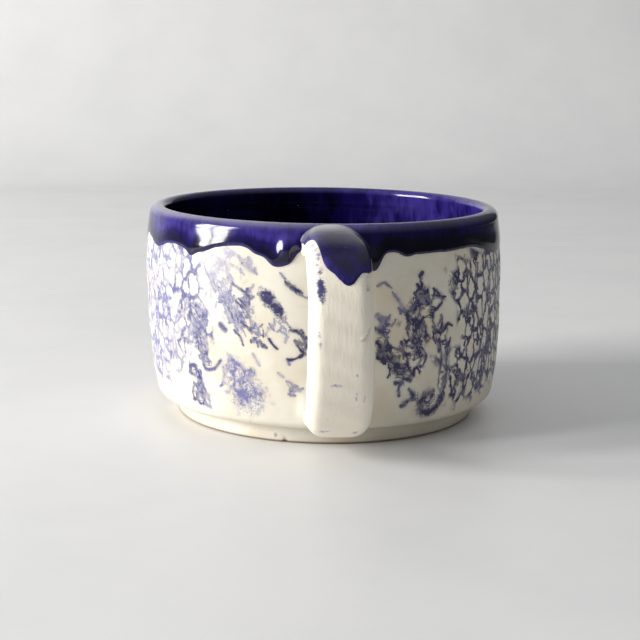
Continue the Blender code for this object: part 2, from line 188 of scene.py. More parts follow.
# twigs, drawn with short sprigs along both sides: the same three, and how many sprigs
TWIGS = [
    (0.36, 0.95, [(25.6, 47.9), (27.2, 46.6), (28.6, 44.8), (29.8, 43.6)], 3),
    (0.36, 0.90, [(31.4, 46.4), (33.2, 44.8), (34.6, 42.8), (33, 41), (30.4, 39.2), (27, 38)], 4),
    (0.34, 0.90, [(24.4, 45.6), (25.8, 44), (26.4, 41.4), (25.8, 38.9), (24, 37)], 3),
    (0.28, 0.50, [(19.4, 41.6), (21.2, 40.4), (23.4, 41.2), (25.2, 43.2)], 2),
    (0.46, 1.00, [(22, 39.6), (23.6, 38.2), (25.4, 36), (24, 33.6), (25, 31.4), (25.2, 28.4)], 4),
    (0.40, 0.95, [(24.9, 38), (26.6, 36.8), (28.4, 35.2), (28.2, 33.2)], 2),
    (0.30, 0.70, [(20.4, 31.6), (22.6, 30.4), (24.8, 30.6), (27.2, 29.4), (28.6, 26.6), (27.2, 23.8)], 3),
    (0.66, 1.10, [(13.3, 31.4), (14.6, 29.8), (15.6, 27.8), (17.4, 26), (19.2, 24.6), (20.8, 23.8)], 7),
    (0.42, 1.05, [(13.2, 28.8), (15, 28.2), (16.2, 26.4)], 2),
    (0.46, 1.00, [(16.4, 24.4), (18.6, 22.6), (20.6, 22.4), (22.6, 23.4), (24, 22)], 3),
    (0.34, 0.90, [(31.6, 40.2), (31, 37.4), (32, 34.6), (31.2, 32)], 2),
    (0.42, 0.95, [(31.2, 35.2), (33.2, 33.6), (35.2, 34), (36.8, 35.6)], 3),
    (0.32, 0.80, [(34.4, 38), (34.8, 35.6), (34, 33)], 1),
    (0.36, 0.85, [(38, 31), (36.6, 26), (37, 20), (35.8, 15)], 4),
    (0.34, 0.75, [(33.6, 31), (34.6, 26), (34, 21)], 2),
]
# chains of small ovals: (half-width, depth, oval's half-axes in mm, count, the chain's path)
CHAINS = [
    (0.32, 0.60, (1.4, 1.6), 10, [(-44, 40), (-41.6, 36), (-43.4, 32), (-41, 28), (-42.4, 24.6)]),
    (0.32, 0.55, (1.3, 1.5), 5, [(-46.6, 36), (-46, 32), (-47.6, 29.5)]),
    (0.34, 0.60, (1.3, 2.1), 6, [(-46.7, 20.4), (-44.4, 16.6), (-47.8, 13), (-43.4, 10.4)]),
    (0.30, 0.30, (1.8, 2.4), 6, [(-54.8, 52), (-52.8, 44), (-53, 35), (-56.4, 27), (-55.4, 20)]),
    (0.28, 0.35, (1.2, 1.9), 5, [(-35.4, 44), (-32.4, 41.6), (-29.8, 36.2)]),
]
# quick short strokes over an oval: (degrees, height, half-width and half-height in mm, half-width of the
# strokes, depth, their lean in degrees, count)
SCRIBBLES = [
    (-33.3, 43.7, 3.4, 4.4, 0.20, 0.40, 62, 16), (-25.9, 42.8, 2.4, 4.8, 0.22, 0.50, 62, 16),
    (-28.6, 36.9, 2.8, 3.4, 0.20, 0.50, 60, 14), (-21.8, 33.6, 2.8, 3.4, 0.18, 0.60, 55, 12),
    (-25.7, 53.2, 2.6, 2.4, 0.24, 0.30, -50, 8), (-16.6, 36.4, 3.4, 2.2, 0.18, 0.40, -40, 9),
    (-45.8, 15.8, 2, 4.8, 0.26, 0.70, 70, 14), (-35, 49.6, 4.6, 3, 0.20, 0.30, -60, 10),
    (-13, 18.2, 2.2, 2.4, 0.18, 0.40, 40, 7), (-8.8, 32.6, 1.6, 2.6, 0.26, 0.90, -50, 7),
    (15.6, 37.4, 2.4, 2.2, 0.26, 0.55, 50, 8), (17.6, 28.6, 4.4, 3.4, 0.30, 1.00, -45, 14),
    (28.2, 44.4, 3.2, 3, 0.26, 0.85, 50, 12), (24.6, 33, 2.4, 5.4, 0.30, 0.95, 80, 16),
]
# patches of fine net: (amount, depth, outline as (degrees, height))
NETS = [
    (1, 0.95, [(41, 54), (37, 51), (39, 44), (41, 37), (42.2, 30), (39.6, 28),
                 (36, 22), (36, 15), (37.4, 11), (43, 9.6), (52, 10.6), (60, 11.4),
                 (67, 14), (80, 10), (95, 17), (95, 48), (84, 52), (66, 56), (52, 57)]),
    (0.9, 0.80, [(31, 33), (36, 36), (39, 30), (37, 14), (34, 14), (32, 24)]),
]
# and of rounder cells
RINGS = [
    (1, 0.35, [(-33, 27), (-29, 26.2), (-24.6, 22.6), (-22.4, 18.8), (-20.4, 13.4), (-24.6, 11),
                 (-27, 8.6), (-30.4, 8.8), (-32.4, 13.6), (-36.6, 17), (-36, 22)]),
    (1, 0.15, [(-54, 58.5), (-55, 44), (-55, 30), (-60.5, 14), (-72, 12), (-84, 18),
                 (-95, 14), (-95, 57), (-84, 58.5)]),
    (1, 0.45, [(-52, 58.5), (-43, 57), (-40, 44), (-38, 36), (-39, 24), (-48, 25),
                 (-57, 18), (-57, 50)]),
    (0.55, 0.25, [(-48, 58.5), (-30, 58.5), (-24, 53), (-30, 44), (-40, 40)]),
    (0.8, 0.50, [(-36, 47), (-30, 46), (-27, 38), (-28, 33), (-33, 37)]),
    (1, 0.95, [(21, 42), (24, 47), (27, 49), (31, 48), (34.5, 44), (31, 40.5), (27, 37.5),
                 (22, 38)]),
    (1, 1.00, [(20, 37), (27, 37.5), (29.5, 32), (30, 25), (25.5, 21), (19, 22), (14, 27),
                 (17, 30), (20, 31)]),
]
# soft smudges: (degrees, height, half-width, half-height, lean in degrees, strength, depth)
SMUDGES = [
    (-19.4, 44.4, 1.9, 3, 38, 1.00, 0.80), (-16.4, 41.2, 1.6, 3.2, 38, 0.92, 0.80),
    (-27.4, 15.8, 6.2, 6.2, 25, 0.62, 0.25), (-31.8, 22, 5, 4.4, 30, 0.56, 0.25),
    (-43.7, 34.4, 3, 6, -8, 0.66, 0.50), (-45, 15.4, 2, 4.4, 0, 0.50, 0.50),
    (-50.2, 28.6, 2, 2, 0, 0.55, 0.50), (-63, 38, 4, 7, 0, 0.50, 0.25),
    (-26.4, 53.6, 2.2, 2.4, 35, 0.50, 0.30), (-57, 24, 2.4, 4, -20, 0.46, 0.35),
    (-26, 42, 2.4, 4, 30, 0.44, 0.45), (-23, 36, 2.2, 2.6, 30, 0.40, 0.40),
    (15.4, 37.6, 2.4, 2, 0, 0.50, 0.30), (16.8, 27.4, 2.2, 1.6, -40, 0.62, 1.00),
    (14.6, 30.6, 1.4, 1.4, 0, 0.62, 1.00), (28.4, 44.6, 2.2, 2.6, 30, 0.34, 0.90),
    (25.2, 29, 2.6, 3.4, 0, 0.34, 0.90), (44, 17, 3.6, 5, 0, 0.42, 0.90),
    (56, 20, 8, 8, 0, 0.40, 0.80), (62, 48, 8, 6, 0, 0.36, 0.70),
    (38.6, 47.6, 1.6, 2.6, 30, 0.56, 0.90), (45.4, 53.4, 1.4, 2, 40, 0.55, 0.90),
]
# on the strap's outer face: (mm across, height, half-width, half-height, lean, strength, depth)
STRAP_SMUDGES = [
    (-5, 51.4, 1.2, 2.8, 6, 1.00, 0.70), (-5.2, 56.4, 0.9, 1.2, 0, 0.66, 0.60),
    (-5.6, 59.6, 0.8, 1.6, 12, 0.74, 0.45), (-6.8, 61.2, 0.7, 0.9, 0, 0.62, 0.30),
    (-6, 56.6, 1, 2.4, 0, 0.56, 0.25), (-7.6, 27.6, 1, 4.2, 0, 0.66, 0.30),
    (-7.2, 50, 1, 5, 0, 0.60, 0.20), (-5.2, 38.2, 0.5, 3, 4, 0.58, 0.25),
    (-0.6, 25.6, 1.8, 0.6, 0, 0.54, 0.10), (4.9, 28.7, 0.4, 0.5, 0, 0.60, 0.20),
    (5, 22.4, 0.5, 1.6, 0, 0.54, 0.10), (7.2, 21.4, 0.5, 1.2, 0, 0.54, 0.10),
    (6, 9.2, 0.9, 0.6, 20, 0.66, 0.15), (-3.6, 9.6, 2.2, 0.6, 4, 0.54, 0.10),
    (-7.6, 9.6, 0.8, 2, -20, 0.60, 0.25), (7.6, 53, 0.8, 3, 0, 0.58, 0.20),
]


# ---- meshes ----

def unit(vectors):
    return vectors / np.linalg.norm(vectors, axis=-1, keepdims=True)


def smooth_line(points, steps):
    """Catmull-Rom points through a short list, with this many steps to each stretch."""
    p = np.array([points[0], *points, points[-1]], float)
    line = []
    for i in range(1, len(p) - 2):
        a, b, c, d = p[i - 1 : i + 3]
        for t in np.arange(steps) / steps:
            bend = (2 * a - 5 * b + 4 * c - d) * t**2 + (3 * b - a - 3 * c + d) * t**3
            line.append(0.5 * (2 * b + (c - a) * t + bend))
    return np.array([*line, p[-2]])


def lengths_along(line):
    return np.concatenate([[0], np.cumsum(np.linalg.norm(np.diff(line, axis=0), axis=1))])


def resample(line, count):
    length = lengths_along(line)
    even = np.linspace(0, length[-1], count)
    return np.stack([np.interp(even, length, line[:, k]) for k in range(line.shape[1])], axis=1)


def arc(centre, radius, start, end, steps):
    """Points on an arc in a plane, with angles in degrees."""
    angles = np.radians(np.linspace(start, end, steps + 1))
    return np.stack([centre[0] + radius * np.cos(angles), centre[1] + radius * np.sin(angles)], axis=1)


def ease(value, low, high):
    """From 0 at low to 1 at high, smoothly."""
    t = np.clip((value - low) / (high - low), 0, 1)
    return t * t * (3 - 2 * t)


def hill(value, middle, width):
    """1 at the middle, falling off smoothly to both sides."""
    return np.exp(-(((value - middle) / width) ** 2))


def grid_quads(rows, columns, wrap_rows=False, wrap_columns=True):
    row = np.arange(rows if wrap_rows else rows - 1)[:, None]
    column = np.arange(columns if wrap_columns else columns - 1)[None, :]
    next_row, next_column = (row + 1) % rows, (column + 1) % columns
    corners = [row * columns + column, row * columns + next_column,
               next_row * columns + next_column, next_row * columns + column]
    return np.stack(np.broadcast_arrays(*corners), axis=-1).reshape(-1, 4)


def make_piece(name, points, faces, node, fields=None):
    """A closed mesh from points in millimetres, riding on the mug in place of its CAD node."""
    mesh = bpy.data.meshes.new(name)
    faces = faces if isinstance(faces, list) else faces.tolist()
    mesh.from_pydata((points.reshape(-1, 3) * MM).tolist(), [], faces)
    for field, values in (fields or {}).items():
        attribute = mesh.attributes.new(field, "FLOAT", "POINT")
        attribute.data.foreach_set("value", np.asarray(values, np.float32).reshape(-1))
    shape = bmesh.new()
    shape.from_mesh(mesh)
    bmesh.ops.remove_doubles(shape, verts=shape.verts, dist=1e-7)
    bmesh.ops.recalc_face_normals(shape, faces=shape.faces)
    shape.to_mesh(mesh)
    shape.free()
    mesh.shade_smooth()
    piece = bpy.data.objects.new(name, mesh)
    bpy.context.scene.collection.objects.link(piece)
    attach(piece, "root")
    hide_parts(node)
    return piece


def shell_quads(rows, columns, wrapped):
    """Faces of a skin whose outer grid's points come first and its inner grid's points after."""
    outer = grid_quads(rows, columns, wrap_columns=wrapped)
    count = rows * columns
    rims = [np.arange(columns), np.arange(columns) + (rows - 1) * columns]
    if not wrapped:
        rims += [np.arange(rows) * columns, np.arange(rows) * columns + columns - 1]
    strips = []
    for rim in rims:
        here, there = (rim, np.roll(rim, -1)) if wrapped else (rim[:-1], rim[1:])
        strips.append(np.stack([here, there, there + count, here + count], axis=1))
    return np.concatenate([outer, outer[:, ::-1] + count, *strips])


def both_shells(**fields):
    """The same values for a skin's outer points and for its inner ones."""
    return {name: np.tile(values.ravel(), 2) for name, values in fields.items()}


def stand(radius, degrees, height, shift=0.0):
    """Points round the cup's axis."""
    angle = np.radians(degrees)
    parts = np.broadcast_arrays(radius * np.sin(angle) + shift, AXIS_Y - radius * np.cos(angle), height)
    return np.stack(parts, axis=-1)


def wander(position, period, size, count=5):
    """A smooth random wave that closes after a period."""
    wave = 0
    for k in range(1, count + 1):
        wave = wave + rng.normal() * np.sin(2 * np.pi * k * position / period + rng.uniform(0, 6.3)) / k**0.5
    return size * wave / count**0.5


# ---- the cup ----

COLUMNS = 720
DEGREES = np.arange(COLUMNS) * 360 / COLUMNS - 180
OUTSIDE_ROWS = 94
wall_line = smooth_line(WALL_OUTSIDE, 8)


def wall_radius(height):
    return np.interp(height, wall_line[::-1, 1], wall_line[::-1, 0])


def lower_shift(height):
    return LOWER_SHIFT * ease(height, LEAN_TOP, 5.0)


def inner_lip(grow=0.0, steps=5):
    centre = (LIP_INSIDE + LIP_INNER_ROUND, LIP_TOP - LIP_INNER_ROUND)
    return arc(centre, LIP_INNER_ROUND + grow, 180, 90, steps)


def outer_lip(grow=0.0, steps=5):
    centre = (LIP_OUTSIDE - LIP_OUTER_ROUND, LIP_TOP - LIP_OUTER_ROUND)
    return arc(centre, LIP_OUTER_ROUND + grow, 90, 0, steps)


def inside_line(grow, count):
    """From the cove at the floor up the inside of the wall to the lip's round."""
    centre = (WALL_INSIDE - COVE_ROUND, FLOOR_TOP + COVE_ROUND)
    cove = arc(centre, COVE_ROUND - grow, -90, 0, 8)
    return resample(np.concatenate([cove, smooth_line(WALL_INNER, 8) - (grow, 0)]), count)


def part_of(line, low, high):
    """The part of a rising line between two heights."""
    fine = resample(line, 4000)
    return fine[(fine[:, 1] >= low) & (fine[:, 1] <= high)]


def wall_relief(degrees, height):
    """How far the thrown surface stands off its plain outline."""
    rings = 0.015 * np.sin(height * 1.9 + 0.5 * np.sin(np.radians(degrees)))
    rings = (rings + 0.05 * np.sin(height * 0.43 + 1.3)) * ease(height, 57, 51)
    sway = 0.18 * np.sin(np.radians(2 * degrees) + 0.6) + 0.1 * np.sin(np.radians(3 * degrees) + height / 19)
    smear = 0.4 * hill(degrees, -9.6, 1.5) * hill(height, 13.2 + 0.6 * (degrees + 9), 3.2)
    return (rings + sway * ease(height, 55, 42)) * ease(height, 8.5, 13) + smear


def make_wall():
    """The wall, once round its section: over the lip, down outside, under the corner and up inside."""
    levels = np.linspace(wall_line[0, 1], wall_line[-1, 1], OUTSIDE_ROWS)
    outside = np.stack([wall_radius(levels), levels], axis=1)
    corner = arc((CORNER_CENTRE, SHELF + CORNER_ROUND), CORNER_ROUND, -10, -90, 9)
    top = np.concatenate([inner_lip(), outer_lip()[1:-1]])
    outline = np.concatenate([top, outside, corner, [(FLOOR_RADIUS - 0.6, SHELF)], inside_line(0, 11)])
    radius, height = outline[:, :1], outline[:, 1:]
    count = len(outline)
    facing = np.zeros((count, 1))       # 1 on the outside, which is the part that is drawn on
    facing[len(top) : len(top) + OUTSIDE_ROWS + 8] = 1
    degrees = np.broadcast_to(DEGREES, (count, COLUMNS))
    relief = wall_relief(degrees, height) * facing
    points = stand(radius + relief, degrees, height, lower_shift(height))
    fields = draw_on_wall(degrees, np.broadcast_to(height, degrees.shape), facing)
    # the clay smear left of the lower joint, raised in the relief, is painted white there as a painted
    # highlight on it
    smear = hill(degrees, -9.2, 1.9) * hill(height, 13.0 + 0.5 * (degrees + 9), 3.0)
    fields["smear"] = smear * facing
    quads = grid_quads(count, COLUMNS, wrap_rows=True)
    return make_piece("wall", points, quads, "wall_band", fields)


def make_floor():
    """The floor with its turned underside, which shows inside the foot."""
    radii = np.linspace(0, FOOT_INSIDE + 2, 90)
    rings = 0.07 * np.sin(radii * 1.5 + 0.4 * np.sin(radii))
    under = SHELF + 0.5 - 0.35 * (radii / FOOT_INSIDE) ** 2 + rings
    lower = np.stack([radii, under], axis=1)
    edge = [(FLOOR_RADIUS - 0.5, SHELF), (FLOOR_RADIUS, SHELF + 0.5), (FLOOR_RADIUS, FLOOR_TOP - 0.5),
            (FLOOR_RADIUS - 0.5, FLOOR_TOP), (20.0, FLOOR_TOP), (0.0, FLOOR_TOP)]
    outline = np.concatenate([lower, edge])
    degrees = np.arange(360) - 180.0
    height = outline[:, 1:] + 0.05 * np.sin(np.radians(degrees) * 3) * (outline[:, :1] < FOOT_INSIDE)
    height = np.where(outline[:, :1] < 0.01, outline[:, 1:], height)
    points = stand(outline[:, :1], degrees, height, lower_shift(outline[:, 1:]))
    return make_piece("floor", points, grid_quads(len(outline), 360), "floor_disc")


def make_foot():
    """The turned ring, with a small chip on its outer edge left of the handle."""
    outline = np.concatenate([
        [(FOOT_RADIUS + 0.9, SHELF + 0.5)], arc((FOOT_RADIUS + 0.8, SHELF - 0.8), 0.8, 90, 180, 5)[1:],
        [(FOOT_RADIUS, 3.8), (FOOT_RADIUS + 0.05, 2.4)],
        arc((FOOT_RADIUS - FOOT_ROUND, FOOT_ROUND), FOOT_ROUND, 0, -90, 7), [(44.6, 0.06), (42.0, 0.06)],
        arc((FOOT_INSIDE + FOOT_ROUND, FOOT_ROUND), FOOT_ROUND, -90, -180, 6),
        [(FOOT_INSIDE - 0.1, 2.6), (FOOT_INSIDE - 0.3, 4.4)],
        arc((FOOT_INSIDE - 1.3, SHELF - 0.6), 1.0, 0, 90, 5), [(FOOT_INSIDE - 1.0, SHELF + 1.2)],
    ])
    radius, height = outline[:, :1], outline[:, 1:]
    degrees = np.broadcast_to(DEGREES, (len(outline), COLUMNS))
    chip = hill(degrees, CHIP_AT, 0.7) * hill(height, 0.3, 0.7) * (radius > 44)
    wobble = 0.12 * np.sin(np.radians(2 * degrees) + 1) + 0.05 * np.sin(np.radians(11 * degrees))
    ring = radius + wobble * (radius > 43) - 0.35 * chip
    points = stand(ring, degrees, height + 0.2 * chip, lower_shift(height))
    # brown over the lowest millimetre of the foot, where it meets the table, and in the chip
    fields = {"brown_foot_edge": np.broadcast_to(ease(height, 1.1, 0.3), degrees.shape) + chip}
    quads = grid_quads(len(outline), COLUMNS, wrap_rows=True)
    return make_piece("foot", points, quads, "foot_ring", fields)


# ---- drawing on the clay ----

BRUSH_LOAD = 1.2            # how much wider than its list says the brush leaves a stroke
TWIG_WEIGHT = 0.80          # how much of its listed width a twig gets
FAR = 9.0                   # stands for well away from any stroke or edge


class Drawing:
    """Distances to the nearest brush stroke, for points laid out flat in millimetres."""

    def __init__(self, across, height, turn=None):
        self.across, self.height, self.turn = across.ravel(), height.ravel(), turn
        self.side, self.away = np.full((2, self.across.size), FAR)
        self.depth, self.smudge, self.net, self.rings = np.zeros((4, self.across.size))

    def from_point(self, across):
        """How far each point lies round the wall from this place, the short way."""
        gap = self.across - across
        return gap if self.turn is None else (gap + self.turn / 2) % self.turn - self.turn / 2

    def stroke(self, half_width, depth, line):
        """A line whose width swells and thins, as a loaded brush leaves it."""
        for index, ((a, b), (c, d)) in enumerate(zip(line[:-1], line[1:])):
            along = np.array([c - a, d - b])
            length = math.hypot(*along) + 1e-9
            along /= length
            gap, rise = self.from_point(a), self.height - b
            near = np.flatnonzero((abs(gap) < length + 4) & (abs(rise) < length + 4))
            gap, rise = gap[near], rise[near]
            forward = gap * along[0] + rise * along[1]
            side = rise * along[0] - gap * along[1]
            away = np.hypot(side, forward - np.clip(forward, 0, length))
            width = BRUSH_LOAD * half_width * (1 + 0.35 * math.sin(index * 0.9 + a))
            closer = away / width < self.away[near]
            chosen = near[closer]
            self.side[chosen] = side[closer] / width
            self.away[chosen] = away[closer] / width
            self.depth[chosen] = depth

    def patch(self, amount, depth, outline):
        """How much of a patch with a soft ragged edge lies at each point."""
        inside = np.zeros(self.across.shape, bool)
        nearest = np.full(self.across.shape, 99.0)
        middle = np.mean([a for a, _ in outline])
        gap = self.from_point(middle)
        for (a, b), (c, d) in zip(outline, outline[1:] + outline[:1]):
            a, c = a - middle, c - middle
            crosses = (b > self.height) != (d > self.height)
            reach = a + (self.height - b) * (c - a) / ((d - b) or 1e-9)
            inside ^= crosses & (gap < reach)
            size = (c - a) ** 2 + (d - b) ** 2
            part = np.clip(((gap - a) * (c - a) + (self.height - b) * (d - b)) / size, 0, 1)
            off = np.hypot(gap - a - part * (c - a), self.height - b - part * (d - b))
            nearest = np.minimum(nearest, off)
        wobble = 1.2 * np.sin(0.8 * gap + 2 * np.sin(0.45 * self.height))
        wobble += 0.8 * np.sin(1.1 * self.height + 0.6 * gap)
        mask = amount * ease(np.where(inside, nearest, -nearest) + wobble, -1.0, 2.6)
        self.depth = np.where((mask > 0.1) & (self.away > 1.5), depth, self.depth)
        return mask

    def blot(self, across, height, half_width, half_height, lean, strength, depth):
        """A soft round smudge."""
        turn = math.radians(lean)
        gap, rise = self.from_point(across), self.height - height
        u = (gap * math.cos(turn) + rise * math.sin(turn)) / half_width
        v = (rise * math.cos(turn) - gap * math.sin(turn)) / half_height
        amount = strength * np.exp(-((u * u + v * v) ** 1.3) * 0.5)
        darkest = (amount > self.smudge) & (amount > 0.25) & (self.away > 1.5)
        self.depth = np.where(darkest, depth, self.depth)
        self.smudge = np.maximum(self.smudge, amount)

    def fields(self, mask):
        mask = mask.ravel()
        return {"ink_side": self.side, "ink_away": self.away, "ink_depth": self.depth,
                "smudge": self.smudge * mask, "net": self.net * mask, "rings": self.rings * mask}


MM_PER_DEGREE = math.radians(1) * BODY_RADIUS
BACK_LIFT = -1.5            # the unseen back repeats the front's marks, mirrored and a little lower


def on_both_sides(points):
    """A mark's points in millimetres along the wall, and those of its mirror image on the back."""
    front = [(degrees * MM_PER_DEGREE, height) for degrees, height in points]
    back = [((180 - degrees) * MM_PER_DEGREE, height + BACK_LIFT) for degrees, height in points]
    return front, back


def oval_line(centre, axes):
    """A quickly drawn loop, whose end misses its start."""
    turn = rng.uniform(0, 360)
    line = arc((0, 0), 1, turn, turn + rng.uniform(220, 390), 11) * axes * rng.uniform(0.6, 1.35, 2)
    line = line + 0.35 * np.sin(np.linspace(0, 6, 12)[:, None] + (turn, turn + 2))
    return line + rng.normal(0, 0.12, line.shape) + rng.normal(0, 0.9, 2) + centre


def sprigs(line, count):
    """Short strokes that leave a line on alternate sides."""
    for index, place in enumerate(np.linspace(1, len(line) - 2, count)):
        start, after = line[int(place)], line[int(place) + 1]
        heading = math.atan2(*(after - start)[::-1]) + (1 if index % 2 else -1) * rng.uniform(0.6, 1.3)
        length = rng.uniform(1.2, 2.8)
        bend = heading + rng.uniform(-0.7, 0.7)
        middle = start + 0.5 * length * np.array([math.cos(heading), math.sin(heading)])
        yield np.array([start, middle, middle + 0.5 * length * np.array([math.cos(bend), math.sin(bend)])])


def draw_chains(drawing):
    for half_width, depth, axes, count, path in CHAINS:
        for centre in resample(smooth_line(path, 6), count):
            for line in on_both_sides(oval_line(centre, axes)):
                drawing.stroke(half_width * rng.uniform(0.7, 1.2), depth * rng.uniform(0.6, 1.2), line)


def draw_scribbles(drawing):
    flat = np.array([1 / MM_PER_DEGREE, 1])
    for across, up, half_width, half_height, load, depth, lean, count in SCRIBBLES:
        for shift in rng.normal(0, 0.5, (count, 2)) * (half_width, half_height):
            angle = math.radians(lean + rng.normal(0, 28))
            reach = rng.uniform(0.4, 1.1) * np.array([math.cos(angle), math.sin(angle)]) * flat
            middle = (across, up) + shift * flat
            kink = rng.normal(0, 0.25, 2) * flat
            for line in on_both_sides([middle - reach, middle + kink, middle + reach]):
                drawing.stroke(load, depth * rng.uniform(0.7, 1.2), line)


def draw_lines(drawing):
    for half_width, depth, points in STROKES:
        for line in on_both_sides(smooth_line(points, 5)):
            drawing.stroke(half_width, depth, line)
    for half_width, depth, points, count in TWIGS:
        for line in on_both_sides(smooth_line(points, 5)):
            drawing.stroke(half_width * TWIG_WEIGHT, depth, line)
            for sprig in sprigs(np.array(line), count):
                drawing.stroke(half_width * TWIG_WEIGHT * rng.uniform(0.6, 0.95), depth, sprig)


def draw_on_wall(degrees, height, facing):
    """The wall's brushwork, laid on from the faint chains to the soft smudges."""
    drawing = Drawing(degrees * MM_PER_DEGREE, height, turn=360 * MM_PER_DEGREE)
    draw_chains(drawing)
    draw_scribbles(drawing)
    draw_lines(drawing)
    for amount, depth, outline in RINGS:
        for line in on_both_sides(outline):
            drawing.rings = np.maximum(drawing.rings, drawing.patch(amount, depth, line))
    for amount, depth, outline in NETS:
        for line in on_both_sides(outline):
            drawing.net = np.maximum(drawing.net, drawing.patch(amount, depth, line))
    for across, up, half_width, half_height, lean, strength, depth in SMUDGES:
        for (place,), tilt in zip(on_both_sides([(across, up)]), (lean, -lean)):
            drawing.blot(*place, half_width, half_height, tilt, strength, depth)
    return drawing.fields(np.broadcast_to(facing, degrees.shape))


# ---- the handle ----

def strap_stations(count):
    """Even stations along the strap's outer face, as (reach, height), and the outward directions."""
    stations = resample(smooth_line(STRAP_ROUTE, 16), count)
    along = unit(np.gradient(stations, axis=0))
    return stations, np.stack([-along[:, 1], along[:, 0]], axis=1)


def blurred(values, width):
    """A closed run of points, each averaged with its neighbours."""
    weights = np.exp(-((np.arange(-3 * width, 3 * width + 1) / width) ** 2) / 2)
    padded = np.concatenate([values[-3 * width :], values, values[: 3 * width]])
    columns = [np.convolve(column, weights / weights.sum(), "valid") for column in padded.T]
    return np.stack(columns, axis=1)


def strap_section(count):
    """(across, depth) and outward directions once round the section, from the middle of its inner face."""
    outer, inner = STRAP_OUTER_ROUND, STRAP_INNER_ROUND
    left = np.concatenate([
        [(0, -STRAP_THICKNESS)],
        arc((inner - STRAP_HALF, inner - STRAP_THICKNESS), inner, 270, 180, 8),
        arc((outer - STRAP_HALF, -outer), outer, 180, 90, 12),
    ])
    loop = resample(np.concatenate([left, (left * (-1, 1))[::-1]]), 1201)[:-1]
    bulge = STRAP_CROWN * (1 - (loop[:, 0] / STRAP_HALF) ** 2)
    loop[:, 1] += bulge * (1 + loop[:, 1] / STRAP_THICKNESS) - STRAP_CROWN
    loop = blurred(loop, 16)
    along = unit(np.roll(loop, -1, axis=0) - np.roll(loop, 1, axis=0))
    outwards = np.stack([-along[:, 1], along[:, 0]], axis=1)
    places = np.arange(count) * len(loop) // count
    return loop[places], outwards[places]


STATIONS = 420
stations, outwards = strap_stations(STATIONS)
station_order = np.arange(STATIONS)
station_step = lengths_along(stations)[-1] / (STATIONS - 1)


def joint_round(across, depth, height):
    """Radius of the soft corner where the strap meets the wall, widest at its upper left."""
    left = ease(-across, 2, 7)
    web = 1.0 * left * ease(height, 54, 62) * ease(depth, -5.0, -0.5)
    return 1.6 + web + 1.4 * left * ease(height, 20, 12)


def strap_points(at, section, facing, grow=0.0):
    """Points over the strap: at counts stations, and the section's points may be grown outwards."""
    reach, height, out_reach, out_height = [
        np.interp(at, station_order, values[:, k]) for values in (stations, outwards) for k in (0, 1)
    ]
    widths, leans = np.array(STRAP_WIDTHS), np.array(STRAP_LEAN)
    half = np.interp(height, widths[:, 0], widths[:, 1]) / 2
    low = np.clip(TONGUE_ROUND - (height - 5.0), 0, TONGUE_ROUND - 0.6) * (reach > 50)
    half = half - TONGUE_ROUND + np.sqrt(TONGUE_ROUND**2 - low**2)
    lean = np.interp(height, leans[:, 0], leans[:, 1])
    across, depth = section[..., 0] * half / STRAP_HALF, section[..., 1]
    shoulder = np.where(across > 0, RIGHT_SHOULDER, LEFT_SHOULDER) * hill(reach, 54, 7) * (height > 40)
    depth = depth - shoulder * abs(across / half) ** 2.4 * (1 + np.clip(depth / STRAP_THICKNESS, -1, 0))
    mid = height + depth * out_height
    radius = np.hypot(across + lean, reach + depth * out_reach)
    gap = radius - wall_radius(np.clip(mid, 9, 62))
    corner = joint_round(across, depth, height)
    left = np.clip(corner - np.clip(gap, 0, None), 0, corner * 0.94)
    upward = facing[..., 1].clip(0)
    flare = (corner - np.sqrt(corner**2 - left**2)) * np.clip(1.15 - upward * 1.3, 0, 1)
    lift = 0.85 * hill(gap, 0, 4.5) * upward * ease(height, 55, 62)
    dents = 0.10 * np.sin(height * 0.31 + 1.0) + 0.07 * np.sin(height * 0.83 + across * 0.4)
    out = grow + flare + lift + dents * upward
    side, rise = across + out * facing[..., 0], depth + out * facing[..., 1]
    away = gouge_depth(across, mid)
    rise = rise - away * facing[..., 1].clip(0.3)
    side = side - away * facing[..., 0]
    parts = [side + lean, AXIS_Y - (reach + rise * out_reach), height + rise * out_height]
    return np.stack(np.broadcast_arrays(*parts), axis=-1)


def gouge_depth(across, height):
    """A nick in the clay across the strap's right edge, with the clay it raised above it."""
    gap, rise = across - GOUGE_AT[0], height - GOUGE_AT[1]
    forward = gap * GOUGE_SLOPE[0] + rise * GOUGE_SLOPE[1]
    off = rise * GOUGE_SLOPE[0] - gap * GOUGE_SLOPE[1] + 0.25 * np.sin(forward * 1.3)
    inside = ease(forward, -0.9, 0.3) * ease(forward, 4.6, 3.0)
    return inside * (0.36 * hill(off, 0, 0.22) - 0.22 * hill(off, 0.6, 0.4))


SECTION_POINTS = 116
section, section_facing = strap_section(SECTION_POINTS)


def make_strap():
    """The handle's strap, closed by a fan of faces at each end."""
    at = np.broadcast_to(station_order[:, None].astype(float), (STATIONS, SECTION_POINTS))
    points = strap_points(at, section, section_facing)
    count = STATIONS * SECTION_POINTS
    ends = points[[0, -1]].mean(axis=1)
    quads = grid_quads(STATIONS, SECTION_POINTS).tolist()
    for centre, first in ((count, 0), (count + 1, count - SECTION_POINTS)):
        ring = [first + k for k in range(SECTION_POINTS)]
        quads += [[centre, a, b] for a, b in zip(ring, ring[1:] + ring[:1])]
    across = points[..., 0]
    drawing = Drawing(across, points[..., 2])
    for smudge in STRAP_SMUDGES:
        drawing.blot(*smudge)
    fields = drawing.fields(section_facing[None, :, 1].clip(0.0) * np.ones((STATIONS, 1)))
    fields["gouge"] = gouge_depth(across, points[..., 2]).clip(0) * 2
    fields = {name: np.append(values, [0, 0]) for name, values in fields.items()}
    points = np.concatenate([points.reshape(-1, 3), ends])
    return make_piece("strap", points, quads, "handle_strap", fields)


